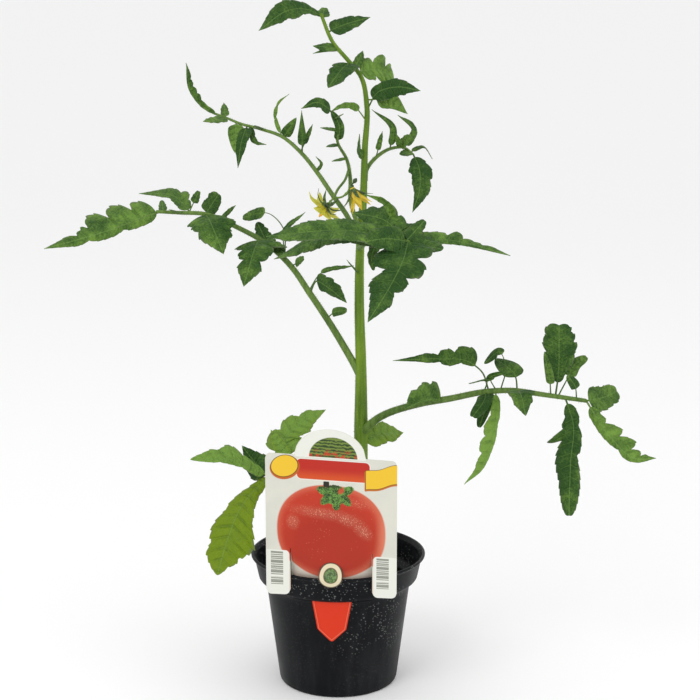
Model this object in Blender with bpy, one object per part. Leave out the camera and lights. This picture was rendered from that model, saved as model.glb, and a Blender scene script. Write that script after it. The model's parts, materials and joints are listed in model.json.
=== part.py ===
"""Tomato plant in a nursery pot, with a push-in plant label.

The origin is at the centre of the pot's underside, +Z is up and +Y points to the back.
All lengths below are in millimetres and become metres when a mesh is made.
"""
import math
from collections import namedtuple

import bmesh
import bpy
import numpy as np

MM = 0.001
GAP = 0.3            # clearance left between pieces that touch

# Pot
POT_SIDES = 48
POT_HEIGHT = 76.0
LIP_RADIUS = 50.0
LIP_DEPTH = 1.8
EDGE_ROUND = 0.5
BAND_TOP_RADIUS = 48.6
BAND_FOOT_RADIUS = 45.6
BAND_FOOT_HEIGHT = 61.0
BODY_TOP_RADIUS = 41.4
BODY_TOP_HEIGHT = 55.5
BASE_RADIUS = 34.0
WALL = 1.2
FLOOR = 1.6
DRAIN_HOLES = 6
DRAIN_HOLE_RADIUS = 3.0
DRAIN_CIRCLE_RADIUS = 25.0
DRAIN_HOLE_TURN = 0.53   # turn of the first hole from +X, as a share of the step between holes

# Soil
SOIL_EDGE_HEIGHT = 57.0
SOIL_CROWN = 2.5
SOIL_RIPPLE = 0.6
SOIL_RING_RADII = (38.6, 33.0, 27.0, 21.0, 15.0, 9.0, 4.0)
STEM_POCKET_FLOOR = 44.0

# Plant label, in its own frame: u runs across it, z up
TAG_TURN = math.radians(4.8)     # the label stands a little to the left of the front
TAG_SLOPE = 0.05                 # how far it leans, fall per unit to the right
TAG_PLANE = 45.2                 # from the pot's axis to the flat sheet
TAG_THICKNESS = 0.5
TAG_HALF_WIDTH = 36.0
TAG_SHOULDER = 144.5
TAG_ARCH_HALF_WIDTH = 17.0
TAG_ARCH_HEIGHT = 13.5
TAG_LEG_INNER = 23.1
TAG_PANEL_HALF_WIDTH = 21.6
TAG_LEG_FOOT = 65.0
TAG_SLIT_TOP = 91.0
TAG_PANEL_FOOT = 64.5
TONGUE_HALF_WIDTH = 11.0
TONGUE_SHOULDER = 44.5
TONGUE_TIP = 37.5
TONGUE_RADIUS = 43.0
SLOT_CLEARANCE = 0.6

# Stems and leaves
STALK_SIDES = 8
STEM_HEIGHTS = (60, 150, 185, 250, 300, 340, 380)
STEM_RADII = (4.1, 3.9, 3.1, 2.4, 1.8, 1.3, 0.9)
LEAF_THICKNESS = 0.7
LEAF_BARE_SHARE = 0.1    # share of a leaflet's length that is its own thin stalk
LEAF_STALK_RADIUS = 0.45
LEAF_NOTCH = 0.25        # depth of the notches in the edge, as a share of the half width
LEAF_FOLD = 0.30         # how far the sides fold up from the midrib
LEAF_CUP = 0.15          # how far the edges bend back down
SMALL_LEAF_ROWS = 6
LEAF_ROWS = 11
LEAF_COLUMNS = 2
LARGE_LEAFLET = 250.0    # a leaflet whose length times width is more than this is a piece of its own

Stalk = namedtuple("Stalk", "name parent foot_radius tip_radius points")
Leaflet = namedtuple("Leaflet", "stalk path width face")

# Each stalk runs through its points, from where it leaves its parent to its tip.
MAIN_STEM = Stalk("main_stem", None, 4.1, 0.9, [
    (13, 2, 44), (13, 2, 95), (13, 2, 150), (12, 0, 183), (11, -1, 223), (12, 0, 254), (14, 1, 276),
    (15, 1, 307), (16, 0, 331), (13, 0, 346), (5, 1, 356), (-2, 2, 364), (-9, 4, 380)])

STALKS = [
    Stalk("leaf_left", "main_stem", 2.3, 1.0, [
        (11, -1, 182), (-5, 4, 210), (-16, 8, 226), (-26, 12, 240), (-38, 16, 251), (-58, 20, 262),
        (-75, 20, 269), (-89, 18, 270), (-102, 15, 271)]),
    Stalk("leaf_right", "main_stem", 2.4, 1.2, [
        (14, -1, 150), (24, -6, 158), (45, -12, 166), (62, -16, 170), (83, -20, 175), (97, -22, 176),
        (114, -24, 174), (137, -26, 171)]),
    Stalk("leaf_front", "main_stem", 1.9, 1.0, [
        (12, 0, 245), (15, -18, 250), (23, -40, 258), (30, -60, 263), (36, -74, 267)]),
    Stalk("arch_left", "main_stem", 1.6, 0.6, [
        (12, 0, 256), (5, 8, 270), (-3, 12, 281), (-10, 16, 291), (-21, 22, 304), (-31, 26, 312),
        (-43, 30, 316), (-55, 32, 319), (-65, 33, 323), (-71, 34, 325)]),
    Stalk("arch_right", "main_stem", 1.3, 0.6, [
        (15, 1, 290), (16, 6, 295), (21, 12, 301), (30, 18, 306), (38, 22, 306), (43, 24, 302)]),
    Stalk("inner_shoot", "main_stem", 1.4, 0.5, [
        (13, 0, 262), (9, -5, 272), (7, -8, 281), (7, -12, 291), (5, -18, 303), (0, -22, 313),
        (0, -24, 322), (-3, -24, 329)]),
    Stalk("leaf_low", "main_stem", 1.9, 1.0, [
        (13, 2, 138), (-4, -8, 141), (-21, -14, 137), (-35, -20, 130), (-42, -24, 124)]),
]

# Each leaflet runs from where it leaves its stalk to its tip; face is the way its upper side looks there.
LEAFLETS = [
    Leaflet("leaf_left", [(-102, 15, 271), (-130, 9, 262), (-163, 0, 252)], 25, (0.2, -0.6, 0.8)),
    Leaflet("leaf_left", [(-83, 20, 271), (-95, 34, 278), (-115, 44, 278)], 14, (0, -0.6, 0.8)),
    Leaflet("leaf_left", [(-75, 20, 269), (-71, 6, 266), (-63, -7, 250)], 24, (-0.1, -0.3, 1)),
    Leaflet("leaf_left", [(-47, 18, 257), (-49, 4, 252), (-52, -8, 232)], 27, (-0.1, -0.3, 1)),
    Leaflet("leaf_left", [(-34, 15, 249), (-33, 20, 260), (-43, 27, 268), (-56, 31, 266)],
            10, (1, -0.3, 0.3)),
    Leaflet("leaf_left", [(-16, 8, 226), (-12, 4, 233), (-6, -2, 231), (5, -9, 223)], 14, (0.3, -0.5, 0.8)),
    Leaflet("leaf_left", [(-75, 20, 269), (-68, 31, 279)], 10, (0.2, -0.9, 0.3)),
    Leaflet("leaf_left", [(-84, 19, 270), (-79, 28, 281)], 6, (0.2, -0.9, 0.3)),
    Leaflet("leaf_left", [(-98, 16, 271), (-100, 26, 276)], 6, (0, -0.8, 0.6)),
    Leaflet("leaf_left", [(-89, 18, 270), (-94, 7, 273)], 5, (0, -0.5, 0.9)),
    Leaflet("leaf_left", [(-66, 20, 265), (-57, 10, 275)], 5, (0, -0.8, 0.6)),
    Leaflet("leaf_left", [(-43, 17, 253), (-30, 6, 249)], 12, (0, -0.7, 0.7)),
    Leaflet("leaf_left", [(-40, 16, 252), (-46, 29, 263)], 11, (-0.2, -0.8, 0.5)),
    Leaflet("leaf_left", [(-30, 13, 244), (-30, 9, 260), (-18, 2, 272)], 4, (-0.6, -0.6, 0.2)),
    Leaflet("leaf_left", [(-26, 12, 240), (-19, 5, 246)], 7, (0, -0.8, 0.6)),
    Leaflet("leaf_left", [(-16, 8, 227), (-11, 12, 238), (9, 9, 242)], 5, (0, -0.4, 0.9)),
    Leaflet("leaf_left", [(-6, 5, 212), (-3, 2, 215), (5, -5, 218)], 5, (0, -0.7, 0.7)),
    Leaflet("leaf_right", [(137, -26, 171), (154, -36, 160), (173, -44, 143)], 22, (0.5, -0.4, 0.75)),
    Leaflet("leaf_right", [(84, -20, 176), (83, -17, 185), (75, -12, 191), (31, -4, 189)],
            17, (1, -0.2, 0.2)),
    Leaflet("leaf_right", [(58, -15, 169), (57, -21, 175), (36, -30, 170)], 18, (0.3, -0.8, 0.45)),
    Leaflet("leaf_right", [(99, -22, 176), (101, -21, 182), (89, -9, 192)], 13, (0.4, -0.9, 0.1)),
    Leaflet("leaf_right", [(87, -21, 175), (89, -29, 160), (83, -36, 143), (70, -40, 127)],
            20, (0.8, 0.5, 0)),
    Leaflet("leaf_right", [(83, -20, 175), (72, -38, 164)], 13, (-0.5, -0.6, 0.6)),
    Leaflet("leaf_right", [(100, -22, 176), (102, -34, 175), (101, -41, 167)], 15, (0, -0.3, 1)),
    Leaflet("leaf_right", [(121, -24, 174), (122, -22, 183), (121, -14, 211)], 17, (0, -1, 0.1)),
    Leaflet("leaf_right", [(125, -25, 173), (128, -35, 155), (127, -44, 135), (126, -48, 112)],
            20, (-0.4, -0.8, 0)),
    Leaflet("leaf_right", [(138, -26, 171), (156, -12, 170)], 14, (0, -0.7, 0.7)),
    Leaflet("leaf_right", [(81, -19, 175), (82, -26, 183), (73, -31, 181)], 5, (0, -0.7, 0.7)),
    Leaflet("leaf_right", [(87, -20, 176), (85, -27, 184), (91, -32, 188)], 5, (-0.3, -0.9, 0.2)),
    Leaflet("leaf_right", [(90, -21, 176), (89, -17, 186), (82, -15, 190)], 6, (0.3, -0.9, 0.2)),
    Leaflet("leaf_right", [(118, -24, 174), (112, -31, 190), (111, -33, 200)], 6, (-0.3, -0.9, 0.1)),
    Leaflet("leaf_right", [(124, -25, 173), (130, -14, 186), (140, -9, 193)], 8, (-0.2, -0.9, 0.4)),
    Leaflet("leaf_right", [(132, -26, 172), (130, -30, 180), (124, -34, 187)], 6, (0.2, -0.9, 0.2)),
    Leaflet("leaf_front", [(36, -74, 267), (35, -88, 260), (26, -96, 246), (15, -97, 229)],
            29, (-0.2, 0, 1)),
    Leaflet("leaf_front", [(34, -69, 266), (5, -77, 277), (-34, -84, 271)], 21, (0, -0.5, 0.86)),
    Leaflet("leaf_front", [(29, -58, 262), (2, -60, 266), (-33, -60, 255)], 18, (0.1, -0.5, 0.86)),
    Leaflet("leaf_front", [(27, -53, 261), (24, -50, 276), (10, -45, 278)], 12, (0.9, -0.3, 0.3)),
    Leaflet("leaf_front", [(33, -68, 265), (43, -52, 276)], 12, (0, -0.5, 0.86)),
    Leaflet("leaf_front", [(33, -67, 265), (53, -83, 262)], 14, (0, -0.6, 0.8)),
    Leaflet("leaf_front", [(31, -62, 263), (62, -70, 267), (88, -76, 259)], 15, (0, -0.35, 0.93)),
    Leaflet("leaf_front", [(28, -56, 261), (28, -57, 278), (25, -59, 286), (14, -63, 289)],
            6, (1, -0.3, 0.2)),
    Leaflet("leaf_front", [(36, -73, 267), (45, -60, 275)], 9, (0, -0.9, 0.3)),
    Leaflet("leaf_front", [(18, -26, 253), (14, -34, 246)], 5, (0, -0.8, 0.6)),
    Leaflet("arch_left", [(-19, 21, 303), (-20, 20, 327)], 8, (0, -1, 0.1)),
    Leaflet("arch_left", [(-62, 33, 322), (-75, 18, 321)], 10, (0, -0.6, 0.8)),
    Leaflet("arch_left", [(-51, 31, 318), (-54, 22, 309), (-56, 19, 295)], 12, (-0.3, -0.9, 0.3)),
    Leaflet("arch_left", [(-71, 34, 325), (-81, 34, 333), (-85, 30, 353)], 12, (-0.4, -0.7, 0.6)),
    Leaflet("arch_left", [(-61, 33, 321), (-65, 27, 305)], 9, (-0.7, -0.6, 0.2)),
    Leaflet("arch_left", [(-12, 16, 294), (-8, 14, 300)], 4, (0, -1, 0.1)),
    Leaflet("arch_left", [(-21, 22, 304), (-14, 26, 319)], 4, (0.2, -1, 0.1)),
    Leaflet("arch_left", [(-31, 26, 312), (-23, 21, 323)], 5, (0.2, -1, 0.1)),
    Leaflet("arch_left", [(-32, 26, 312), (-35, 27, 324), (-27, 23, 335)], 5, (-0.3, -0.9, 0.1)),
    Leaflet("arch_left", [(-43, 30, 316), (-46, 15, 319)], 8, (0, -0.3, 0.9)),
    Leaflet("arch_left", [(-47, 30, 317), (-42, 20, 309)], 7, (0.4, -0.8, 0.4)),
    Leaflet("arch_left", [(-64, 33, 323), (-65, 43, 330)], 5, (0, -0.8, 0.6)),
    Leaflet("arch_right", [(30, 18, 306), (31, 16, 317), (19, 12, 328)], 12, (0.5, -0.8, 0.2)),
    Leaflet("arch_right", [(38, 22, 306), (43, 26, 316), (34, 26, 324)], 12, (0.5, -0.8, 0.1)),
    Leaflet("arch_right", [(43, 24, 302), (50, 16, 294), (48, 11, 284), (42, 10, 271)],
            17, (0.4, -0.8, 0.4)),
    Leaflet("arch_right", [(22, 12, 301), (25, 11, 316)], 5, (-0.3, -1, 0)),
    Leaflet("arch_right", [(35, 21, 306), (41, 14, 314)], 8, (-0.3, -0.8, 0.4)),
    Leaflet("arch_right", [(41, 24, 304), (54, 31, 301)], 5, (0, -0.5, 0.86)),
    Leaflet("arch_right", [(41, 23, 304), (35, 10, 304)], 6, (0, -0.4, 0.9)),
    Leaflet("inner_shoot", [(-3, -24, 329), (-19, -34, 332)], 10, (0, -0.6, 0.8)),
    Leaflet("inner_shoot", [(1, -22, 312), (-6, -34, 311)], 8, (0, -0.6, 0.8)),
    Leaflet("inner_shoot", [(0, -24, 326), (3, -32, 328)], 4, (0, -0.6, 0.8)),
    Leaflet("inner_shoot", [(0, -24, 319), (-9, -34, 321)], 6, (0, -0.7, 0.7)),
    Leaflet("inner_shoot", [(5, -18, 304), (-3, -30, 303)], 5, (0, -0.6, 0.8)),
    Leaflet("leaf_low", [(-42, -24, 124), (-60, -30, 134), (-81, -34, 140)], 18, (0.2, -0.5, 0.85)),
    Leaflet("leaf_low", [(-36, -20, 129), (-46, -34, 114), (-62, -47, 97), (-66, -52, 79)],
            23, (-0.3, -0.2, 0.9)),
    Leaflet("leaf_low", [(-25, -16, 135), (-24, -2, 146), (-7, 7, 157)], 18, (0.1, 0.5, 0.86)),
    Leaflet("leaf_low", [(-38, -22, 127), (-52, -9, 141)], 11, (-0.3, -0.7, 0.6)),
    Leaflet("leaf_low", [(-29, -18, 133), (-38, -4, 149)], 9, (0, 0.5, 0.86)),
    Leaflet("main_stem", [(-9, 4, 380), (-25, -4, 380), (-42, -10, 371)], 17, (0, -0.55, 0.85)),
    Leaflet("main_stem", [(-5, 3, 370), (6, 8, 375), (18, 10, 378)], 14, (0, -0.7, 0.7)),
    Leaflet("main_stem", [(8, 0, 353), (3, -8, 352), (-5, -14, 341)], 14, (-0.4, -0.3, 0.86)),
    Leaflet("main_stem", [(16, 0, 334), (20, 5, 342), (32, 14, 344)], 14, (-0.4, -0.8, 0.5)),
    Leaflet("main_stem", [(16, 0, 329), (24, -4, 331), (45, -6, 339)], 13, (0, -0.6, 0.8)),
    Leaflet("main_stem", [(13, 2, 141), (24, 9, 143), (38, 20, 141)], 15, (0, -0.4, 0.9)),
    Leaflet("main_stem", [(15, 1, 325), (24, -7, 324), (37, -20, 326)], 8, (0, 0.2, 1)),
    Leaflet("main_stem", [(0, 2, 361), (-12, -12, 358)], 6, (0, -0.5, 0.86)),
    Leaflet("main_stem", [(10, 0, 351), (14, 8, 360)], 6, (-0.2, -0.8, 0.6)),
    Leaflet("main_stem", [(-7, 4, 376), (-6, 14, 383)], 7, (0, -0.8, 0.6)),
    Leaflet("main_stem", [(15, 0, 322), (8, -6, 329), (-4, -14, 329)], 5, (-0.6, -0.2, 0.8)),
    Leaflet("main_stem", [(15, 1, 303), (12, -5, 306), (12, -10, 316)], 6, (0, -0.9, -0.3)),
    Leaflet("main_stem", [(12, 0, 238), (5, -16, 248)], 3, (0, -0.5, 0.86)),
]

# Truss: the flower stalk, from inner_shoot to where it forks, and its two flowers
TRUSS = Stalk("truss", "inner_shoot", 0.7, 0.6, [(6, -15, 297), (4, -19, 292), (0, -22, 287), (-2, -24, 283)])
PEDICEL_RADIUS = 0.6
FLOWER_HUB = 1.2
PETALS = 5
PETAL_RINGS = 4
PETAL_THICKNESS = 0.6
PETAL_WAIST = 0.22       # length of the notch between two petals, as a share of a petal
FLOWERS = [
    # name, pedicel from the fork, way the flower looks, petal length, how far the petals open (degrees)
    ("flower_open", [(-2, -24, 283), (-4, -27, 279)], (-0.45, -0.75, -0.5), 11.0, 100.0),
    ("flower_hanging", [(-2, -24, 283), (3, -26, 285), (7, -26, 290), (10, -26, 289)],
     (0.3, -0.15, -0.95), 13.0, 24.0),
]
BUD_PATH = [(7, -26, 290), (11, -30, 293), (13, -31, 297)]
BUD_RADII = (0.5, 0.5, 0.6, 1.3, 1.6, 1.3, 0.4)
STAMEN_RADII = (1.0, 1.5, 1.5, 1.2, 0.9, 0.5)


# ---- curves and frames -------------------------------------------------------------------------

def smooth_curve(points, count):
    """Even steps along a cubic that passes through every point."""
    points = np.array(points, float)
    run = np.concatenate([[0.0], np.cumsum(np.linalg.norm(np.diff(points, axis=0), axis=1))])
    slopes = np.gradient(points, run, axis=0)
    pieces = []
    for i in range(len(points) - 1):
        span = run[i + 1] - run[i]
        t = np.linspace(0, 1, 24, endpoint=False)[:, None]
        pieces.append((2 * t**3 - 3 * t**2 + 1) * points[i] + (t**3 - 2 * t**2 + t) * span * slopes[i]
                      + (3 * t**2 - 2 * t**3) * points[i + 1] + (t**3 - t**2) * span * slopes[i + 1])
    fine = np.concatenate(pieces + [points[-1:]])
    along = np.concatenate([[0.0], np.cumsum(np.linalg.norm(np.diff(fine, axis=0), axis=1))])
    steps = np.linspace(0, along[-1], count)
    return np.stack([np.interp(steps, along, fine[:, k]) for k in range(3)], axis=1)


def unit(vectors):
    return vectors / np.linalg.norm(vectors, axis=-1, keepdims=True)


def frames_along(curve, face):
    """Tangent, facing and cross directions along a curve; the facing is carried on without twisting."""
    tangents = unit(np.gradient(curve, axis=0))
    facing = np.array(face, float)
    facings = []
    for tangent in tangents:
        facing = facing - tangent * np.dot(facing, tangent)
        facing = facing / np.linalg.norm(facing)
        facings.append(facing)
    facings = np.array(facings)
    return tangents, facings, np.cross(tangents, facings)


def nearest_on(curve, point):
    """Index of the curve's point that is nearest to a given point."""
    return int(np.argmin(np.linalg.norm(curve - np.array(point, float), axis=1)))


def start_clear_of(stalk_curve, stalk_radii, path, half_thickness):
    """The path with its first point moved out of the stalk, to lie GAP off the stalk's side or end."""
    index = nearest_on(stalk_curve, path[0])
    axis_point = stalk_curve[index]
    axis = unit(np.gradient(stalk_curve, axis=0))[index]
    way = unit(np.array(path[1], float) - axis_point)
    along = abs(np.dot(way, axis))
    across = math.sqrt(1 - along**2)
    if index > 0.97 * len(stalk_curve) and along > 0.6:
        axis_point = stalk_curve[-1]
        reach = (GAP + half_thickness * across) / along
    else:
        reach = (stalk_radii[index] + GAP + half_thickness * along) / max(across, 0.35)
    return [axis_point + way * reach] + [np.array(point, float) for point in path[1:]]


# ---- meshes ------------------------------------------------------------------------------------

def make_material(name, colour, roughness, metallic=0.0):
    material = bpy.data.materials.new(name)
    material.use_nodes = True
    shader = material.node_tree.nodes["Principled BSDF"]
    shader.inputs["Base Color"].default_value = (*colour, 1.0)
    shader.inputs["Roughness"].default_value = roughness
    shader.inputs["Metallic"].default_value = metallic
    material.diffuse_color = (*colour, 1.0)
    return material


def make_object(name, points, faces, material):
    """A mesh object from points in millimetres, with its faces turned outwards."""
    mesh = bpy.data.meshes.new(name)
    mesh.from_pydata([tuple(point) for point in np.array(points, float) * MM], [], faces)
    shell = bmesh.new()
    shell.from_mesh(mesh)
    bmesh.ops.delete(shell, geom=[vertex for vertex in shell.verts if not vertex.link_faces], context="VERTS")
    bmesh.ops.recalc_face_normals(shell, faces=shell.faces)
    shell.to_mesh(mesh)
    shell.free()
    mesh.materials.append(material)
    mesh.shade_smooth()
    mesh.set_sharp_from_angle(angle=math.radians(35))
    made = bpy.data.objects.new(name, mesh)
    bpy.context.collection.objects.link(made)
    return made


def grid_faces(rows, columns, closed=False):
    """Quads of a grid of points, row by row; a closed grid joins its last column to its first."""
    faces = []
    last = columns if closed else columns - 1
    for row in range(rows - 1):
        for column in range(last):
            following = (column + 1) % columns
            faces.append((row * columns + column, row * columns + following,
                          (row + 1) * columns + following, (row + 1) * columns + column))
    return faces


def make_tube(name, curve, radii, material, sides=STALK_SIDES):
    """A round tube with flat ends along a curve."""
    start = (0.31, 0.62, 0.72)
    _, up, side = frames_along(curve, start)
    angles = np.linspace(0, 2 * math.pi, sides, endpoint=False)
    rings = (curve[:, None] + radii[:, None, None]
             * (np.cos(angles)[None, :, None] * up[:, None] + np.sin(angles)[None, :, None] * side[:, None]))
    faces = grid_faces(len(curve), sides, closed=True)
    faces.append(tuple(range(sides)))
    faces.append(tuple(range((len(curve) - 1) * sides, len(curve) * sides)))
    return make_object(name, rings.reshape(-1, 3), faces, material)


def make_sheet(name, top, bottom, material, cells=None):
    """A closed thin solid between two grids of points; cells says which of the grid's cells it has."""
    rows, columns = top.shape[:2]
    size = rows * columns
    quads = grid_faces(rows, columns)
    if cells is not None:
        quads = [quad for quad, kept in zip(quads, cells.reshape(-1)) if kept]
    faces = quads + [tuple(size + corner for corner in quad) for quad in quads]
    edges = [edge for quad in quads for edge in zip(quad, quad[1:] + quad[:1])]
    known = set(edges)
    faces += [(here, following, size + following, size + here)
              for here, following in edges if (following, here) not in known]
    return make_object(name, np.concatenate([top.reshape(-1, 3), bottom.reshape(-1, 3)]), faces, material)


def make_turned(name, profile, sides, material):
    """A solid of revolution about +Z; a profile point with no radius is a pole."""
    angles = np.linspace(0, 2 * math.pi, sides, endpoint=False)
    points, rings = [], []
    for radius, height in profile:
        if radius == 0:
            rings.append([len(points)] * sides)
            points.append((0, 0, height))
        else:
            rings.append(list(range(len(points), len(points) + sides)))
            points.extend((radius * math.cos(a), radius * math.sin(a), height) for a in angles)
    faces = []
    for lower, upper in zip(rings, rings[1:]):
        for i in range(sides):
            corners = [lower[i], lower[(i + 1) % sides], upper[(i + 1) % sides], upper[i]]
            faces.append(tuple(dict.fromkeys(corners)))
    return make_object(name, points, faces, material)


def combine(target, other, operation):
    """Cut another object out of the target, or join it on, and remove it."""
    modifier = target.modifiers.new("combine", "BOOLEAN")
    modifier.operation = operation
    modifier.solver = "EXACT"
    modifier.object = other
    bpy.context.view_layer.update()
    evaluated = target.evaluated_get(bpy.context.evaluated_depsgraph_get())
    mesh = bpy.data.meshes.new_from_object(evaluated)
    target.modifiers.clear()
    target.data = mesh
    bpy.data.objects.remove(other)


# ---- pot, soil and label -----------------------------------------------------------------------

def inner_radius(height):
    """Radius of the pot's inside at a height."""
    heights = [FLOOR, BODY_TOP_HEIGHT + WALL, BAND_FOOT_HEIGHT + WALL, POT_HEIGHT]
    radii = [BASE_RADIUS - WALL + 0.2, BODY_TOP_RADIUS - WALL, BAND_FOOT_RADIUS - WALL,
             BAND_TOP_RADIUS - WALL]
    return float(np.interp(height, heights, radii))


def make_pot(material):
    outside = [(0, 0), (BASE_RADIUS - 1, 0), (BASE_RADIUS, 1), (BODY_TOP_RADIUS, BODY_TOP_HEIGHT),
               (BAND_FOOT_RADIUS, BAND_FOOT_HEIGHT), (BAND_TOP_RADIUS, POT_HEIGHT - LIP_DEPTH - EDGE_ROUND),
               (LIP_RADIUS, POT_HEIGHT - LIP_DEPTH), (LIP_RADIUS, POT_HEIGHT - EDGE_ROUND),
               (LIP_RADIUS - EDGE_ROUND, POT_HEIGHT)]
    inside = [(inner_radius(POT_HEIGHT) + EDGE_ROUND, POT_HEIGHT),
              (inner_radius(POT_HEIGHT), POT_HEIGHT - LIP_DEPTH),
              (inner_radius(BAND_FOOT_HEIGHT + WALL), BAND_FOOT_HEIGHT + WALL),
              (inner_radius(BODY_TOP_HEIGHT + WALL), BODY_TOP_HEIGHT + WALL),
              (inner_radius(FLOOR), FLOOR), (0, FLOOR)]
    pot = make_turned("pot", outside + inside, POT_SIDES, material)
    for i in range(DRAIN_HOLES):
        angle = 2 * math.pi * (i + DRAIN_HOLE_TURN) / DRAIN_HOLES
        hole = make_turned("hole", [(0, -1), (DRAIN_HOLE_RADIUS, -1), (DRAIN_HOLE_RADIUS, FLOOR + 1),
                                    (0, FLOOR + 1)], 12, material)
        hole.location = (DRAIN_CIRCLE_RADIUS * math.cos(angle) * MM,
                         DRAIN_CIRCLE_RADIUS * math.sin(angle) * MM, 0)
        combine(pot, hole, "DIFFERENCE")
    combine(pot, make_tongue_slot(material), "DIFFERENCE")
    return pot


def label_point(across, outward, height):
    """World place of a point of the label: across it, out from the pot's axis, and height."""
    side = np.stack([np.cos(TAG_TURN) * across, -np.sin(TAG_TURN) * across], axis=-1)
    front = np.stack([-np.sin(TAG_TURN) * outward, -np.cos(TAG_TURN) * outward], axis=-1)
    return np.concatenate([side + front, height[..., None]], axis=-1)


def make_tongue_slot(material):
    """Cutter for the slot in the pot's ledge that the label's tongue goes through."""
    across = np.linspace(-TONGUE_HALF_WIDTH - 1, TONGUE_HALF_WIDTH + 1, 9)
    sheets = []
    for radius in (TONGUE_RADIUS - SLOT_CLEARANCE, TONGUE_RADIUS + SLOT_CLEARANCE):
        heights = np.array([BODY_TOP_HEIGHT - 1.0, BAND_FOOT_HEIGHT + 4.0])[:, None] + 0 * across
        flat = across + 0 * heights
        sheets.append(label_point(flat, np.sqrt(radius**2 - flat**2), heights))
    return make_sheet("slot", sheets[0], sheets[1], material)


def label_depth(across, height):
    """How far out from the pot's axis the label's sheet lies: flat above, bent to pass inside the rim."""
    bend_radius = np.interp(height, [BODY_TOP_HEIGHT, BAND_FOOT_HEIGHT + 2, POT_HEIGHT],
                            [TONGUE_RADIUS, TONGUE_RADIUS + 0.3, BAND_TOP_RADIUS - WALL - 1.4])
    bent = np.sqrt(bend_radius**2 - np.minimum(np.abs(across), bend_radius * 0.9)**2)
    blend = np.clip((height - POT_HEIGHT - 1) / (TAG_SLIT_TOP - POT_HEIGHT - 1), 0, 1)
    blend = blend * blend * (3 - 2 * blend)
    inside = np.abs(across) < TAG_LEG_INNER - 0.5
    return np.where(inside, bent + (TAG_PLANE - bent) * blend, TAG_PLANE)


def make_tag(material):
    """The label: panel with an arched top, two legs outside the rim and a pointed tongue."""
    half = [4.0, 8.0, TONGUE_HALF_WIDTH, TAG_ARCH_HALF_WIDTH, TAG_PANEL_HALF_WIDTH, TAG_LEG_INNER,
            25.0, 29.6, 34.2, TAG_HALF_WIDTH]
    columns = np.array([-edge for edge in reversed(half)] + [0.0] + half)
    reach = np.abs(columns)
    leg_middle = (TAG_LEG_INNER + TAG_HALF_WIDTH) / 2
    leg_half = (TAG_HALF_WIDTH - TAG_LEG_INNER) / 2
    leg_foot = TAG_LEG_FOOT + 4.0 * np.clip(np.abs(reach - leg_middle) / leg_half, 0, 1)**4
    foot = np.where(reach >= TAG_LEG_INNER, leg_foot, TAG_PANEL_FOOT)
    tongue_foot = np.interp(reach, [0, 8.0, TONGUE_HALF_WIDTH],
                            [TONGUE_TIP, TONGUE_SHOULDER, TAG_PANEL_FOOT - 4])
    arch = TAG_ARCH_HEIGHT * np.sqrt(np.clip(1 - (columns / TAG_ARCH_HALF_WIDTH)**2, 0, 1))
    head = TAG_SHOULDER + arch - 2.0 * (reach == TAG_HALF_WIDTH)
    part = np.linspace(0, 1, 5)[:, None]
    heights = np.concatenate([
        tongue_foot + (TAG_PANEL_FOOT - tongue_foot) * part[:-1],
        foot + (TAG_SLIT_TOP - foot) * part[:-1],
        TAG_SLIT_TOP + (head - TAG_SLIT_TOP) * part])
    across = columns + 0 * heights
    middle = (reach[1:] + reach[:-1]) / 2
    cells = np.ones((len(heights) - 1, len(columns) - 1), bool)
    cells[:4] = middle < TONGUE_HALF_WIDTH
    cells[4:8] = (middle < TAG_PANEL_HALF_WIDTH) | (middle > TAG_LEG_INNER)
    depth = label_depth(across, heights)
    lean = heights - TAG_SLOPE * across * np.clip((heights - TAG_PANEL_FOOT + 8) / 30, 0, 1)
    sheets = [label_point(across, depth + side * TAG_THICKNESS / 2, lean) for side in (1, -1)]
    return make_sheet("tag", sheets[0], sheets[1], material, cells)


def make_soil(material):
    """Potting mix: fills the pot to just below its ledge, with a pocket for the stem."""
    heights = [FLOOR + GAP, FLOOR + GAP + 0.5, SOIL_EDGE_HEIGHT - 1.5]
    wall = [(inner_radius(height) - GAP - 0.1, height) for height in heights]
    crown = [(radius, SOIL_EDGE_HEIGHT + SOIL_CROWN * (1 - (radius / BODY_TOP_RADIUS)**2)
              + SOIL_RIPPLE * math.sin(radius * 0.55)) for radius in SOIL_RING_RADII]
    profile = [(0, FLOOR + GAP)] + wall + crown + [(0, SOIL_EDGE_HEIGHT + SOIL_CROWN)]
    soil = make_turned("soil", profile, 32, material)
    foot = MAIN_STEM.points[0]
    pocket_radius = MAIN_STEM.foot_radius + GAP + 0.1
    pocket = make_turned("pocket", [(0, STEM_POCKET_FLOOR - GAP), (pocket_radius, STEM_POCKET_FLOOR - GAP),
                                    (pocket_radius, POT_HEIGHT), (0, POT_HEIGHT)], 24, material)
    pocket.location = (foot[0] * MM, foot[1] * MM, 0)
    combine(soil, pocket, "DIFFERENCE")
    return soil


# ---- stems and leaves --------------------------------------------------------------------------

def taper(stalk, count):
    """Radii along a stalk: thickest at the foot, thinning quickly at first."""
    run = np.linspace(0, 1, count)
    return stalk.tip_radius + (stalk.foot_radius - stalk.tip_radius) * (1 - run)**0.8


def stem_radii(curve):
    """Radii of the main stem by height, from the soil to the bent tip."""
    return np.interp(curve[:, 2], STEM_HEIGHTS, STEM_RADII)


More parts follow.
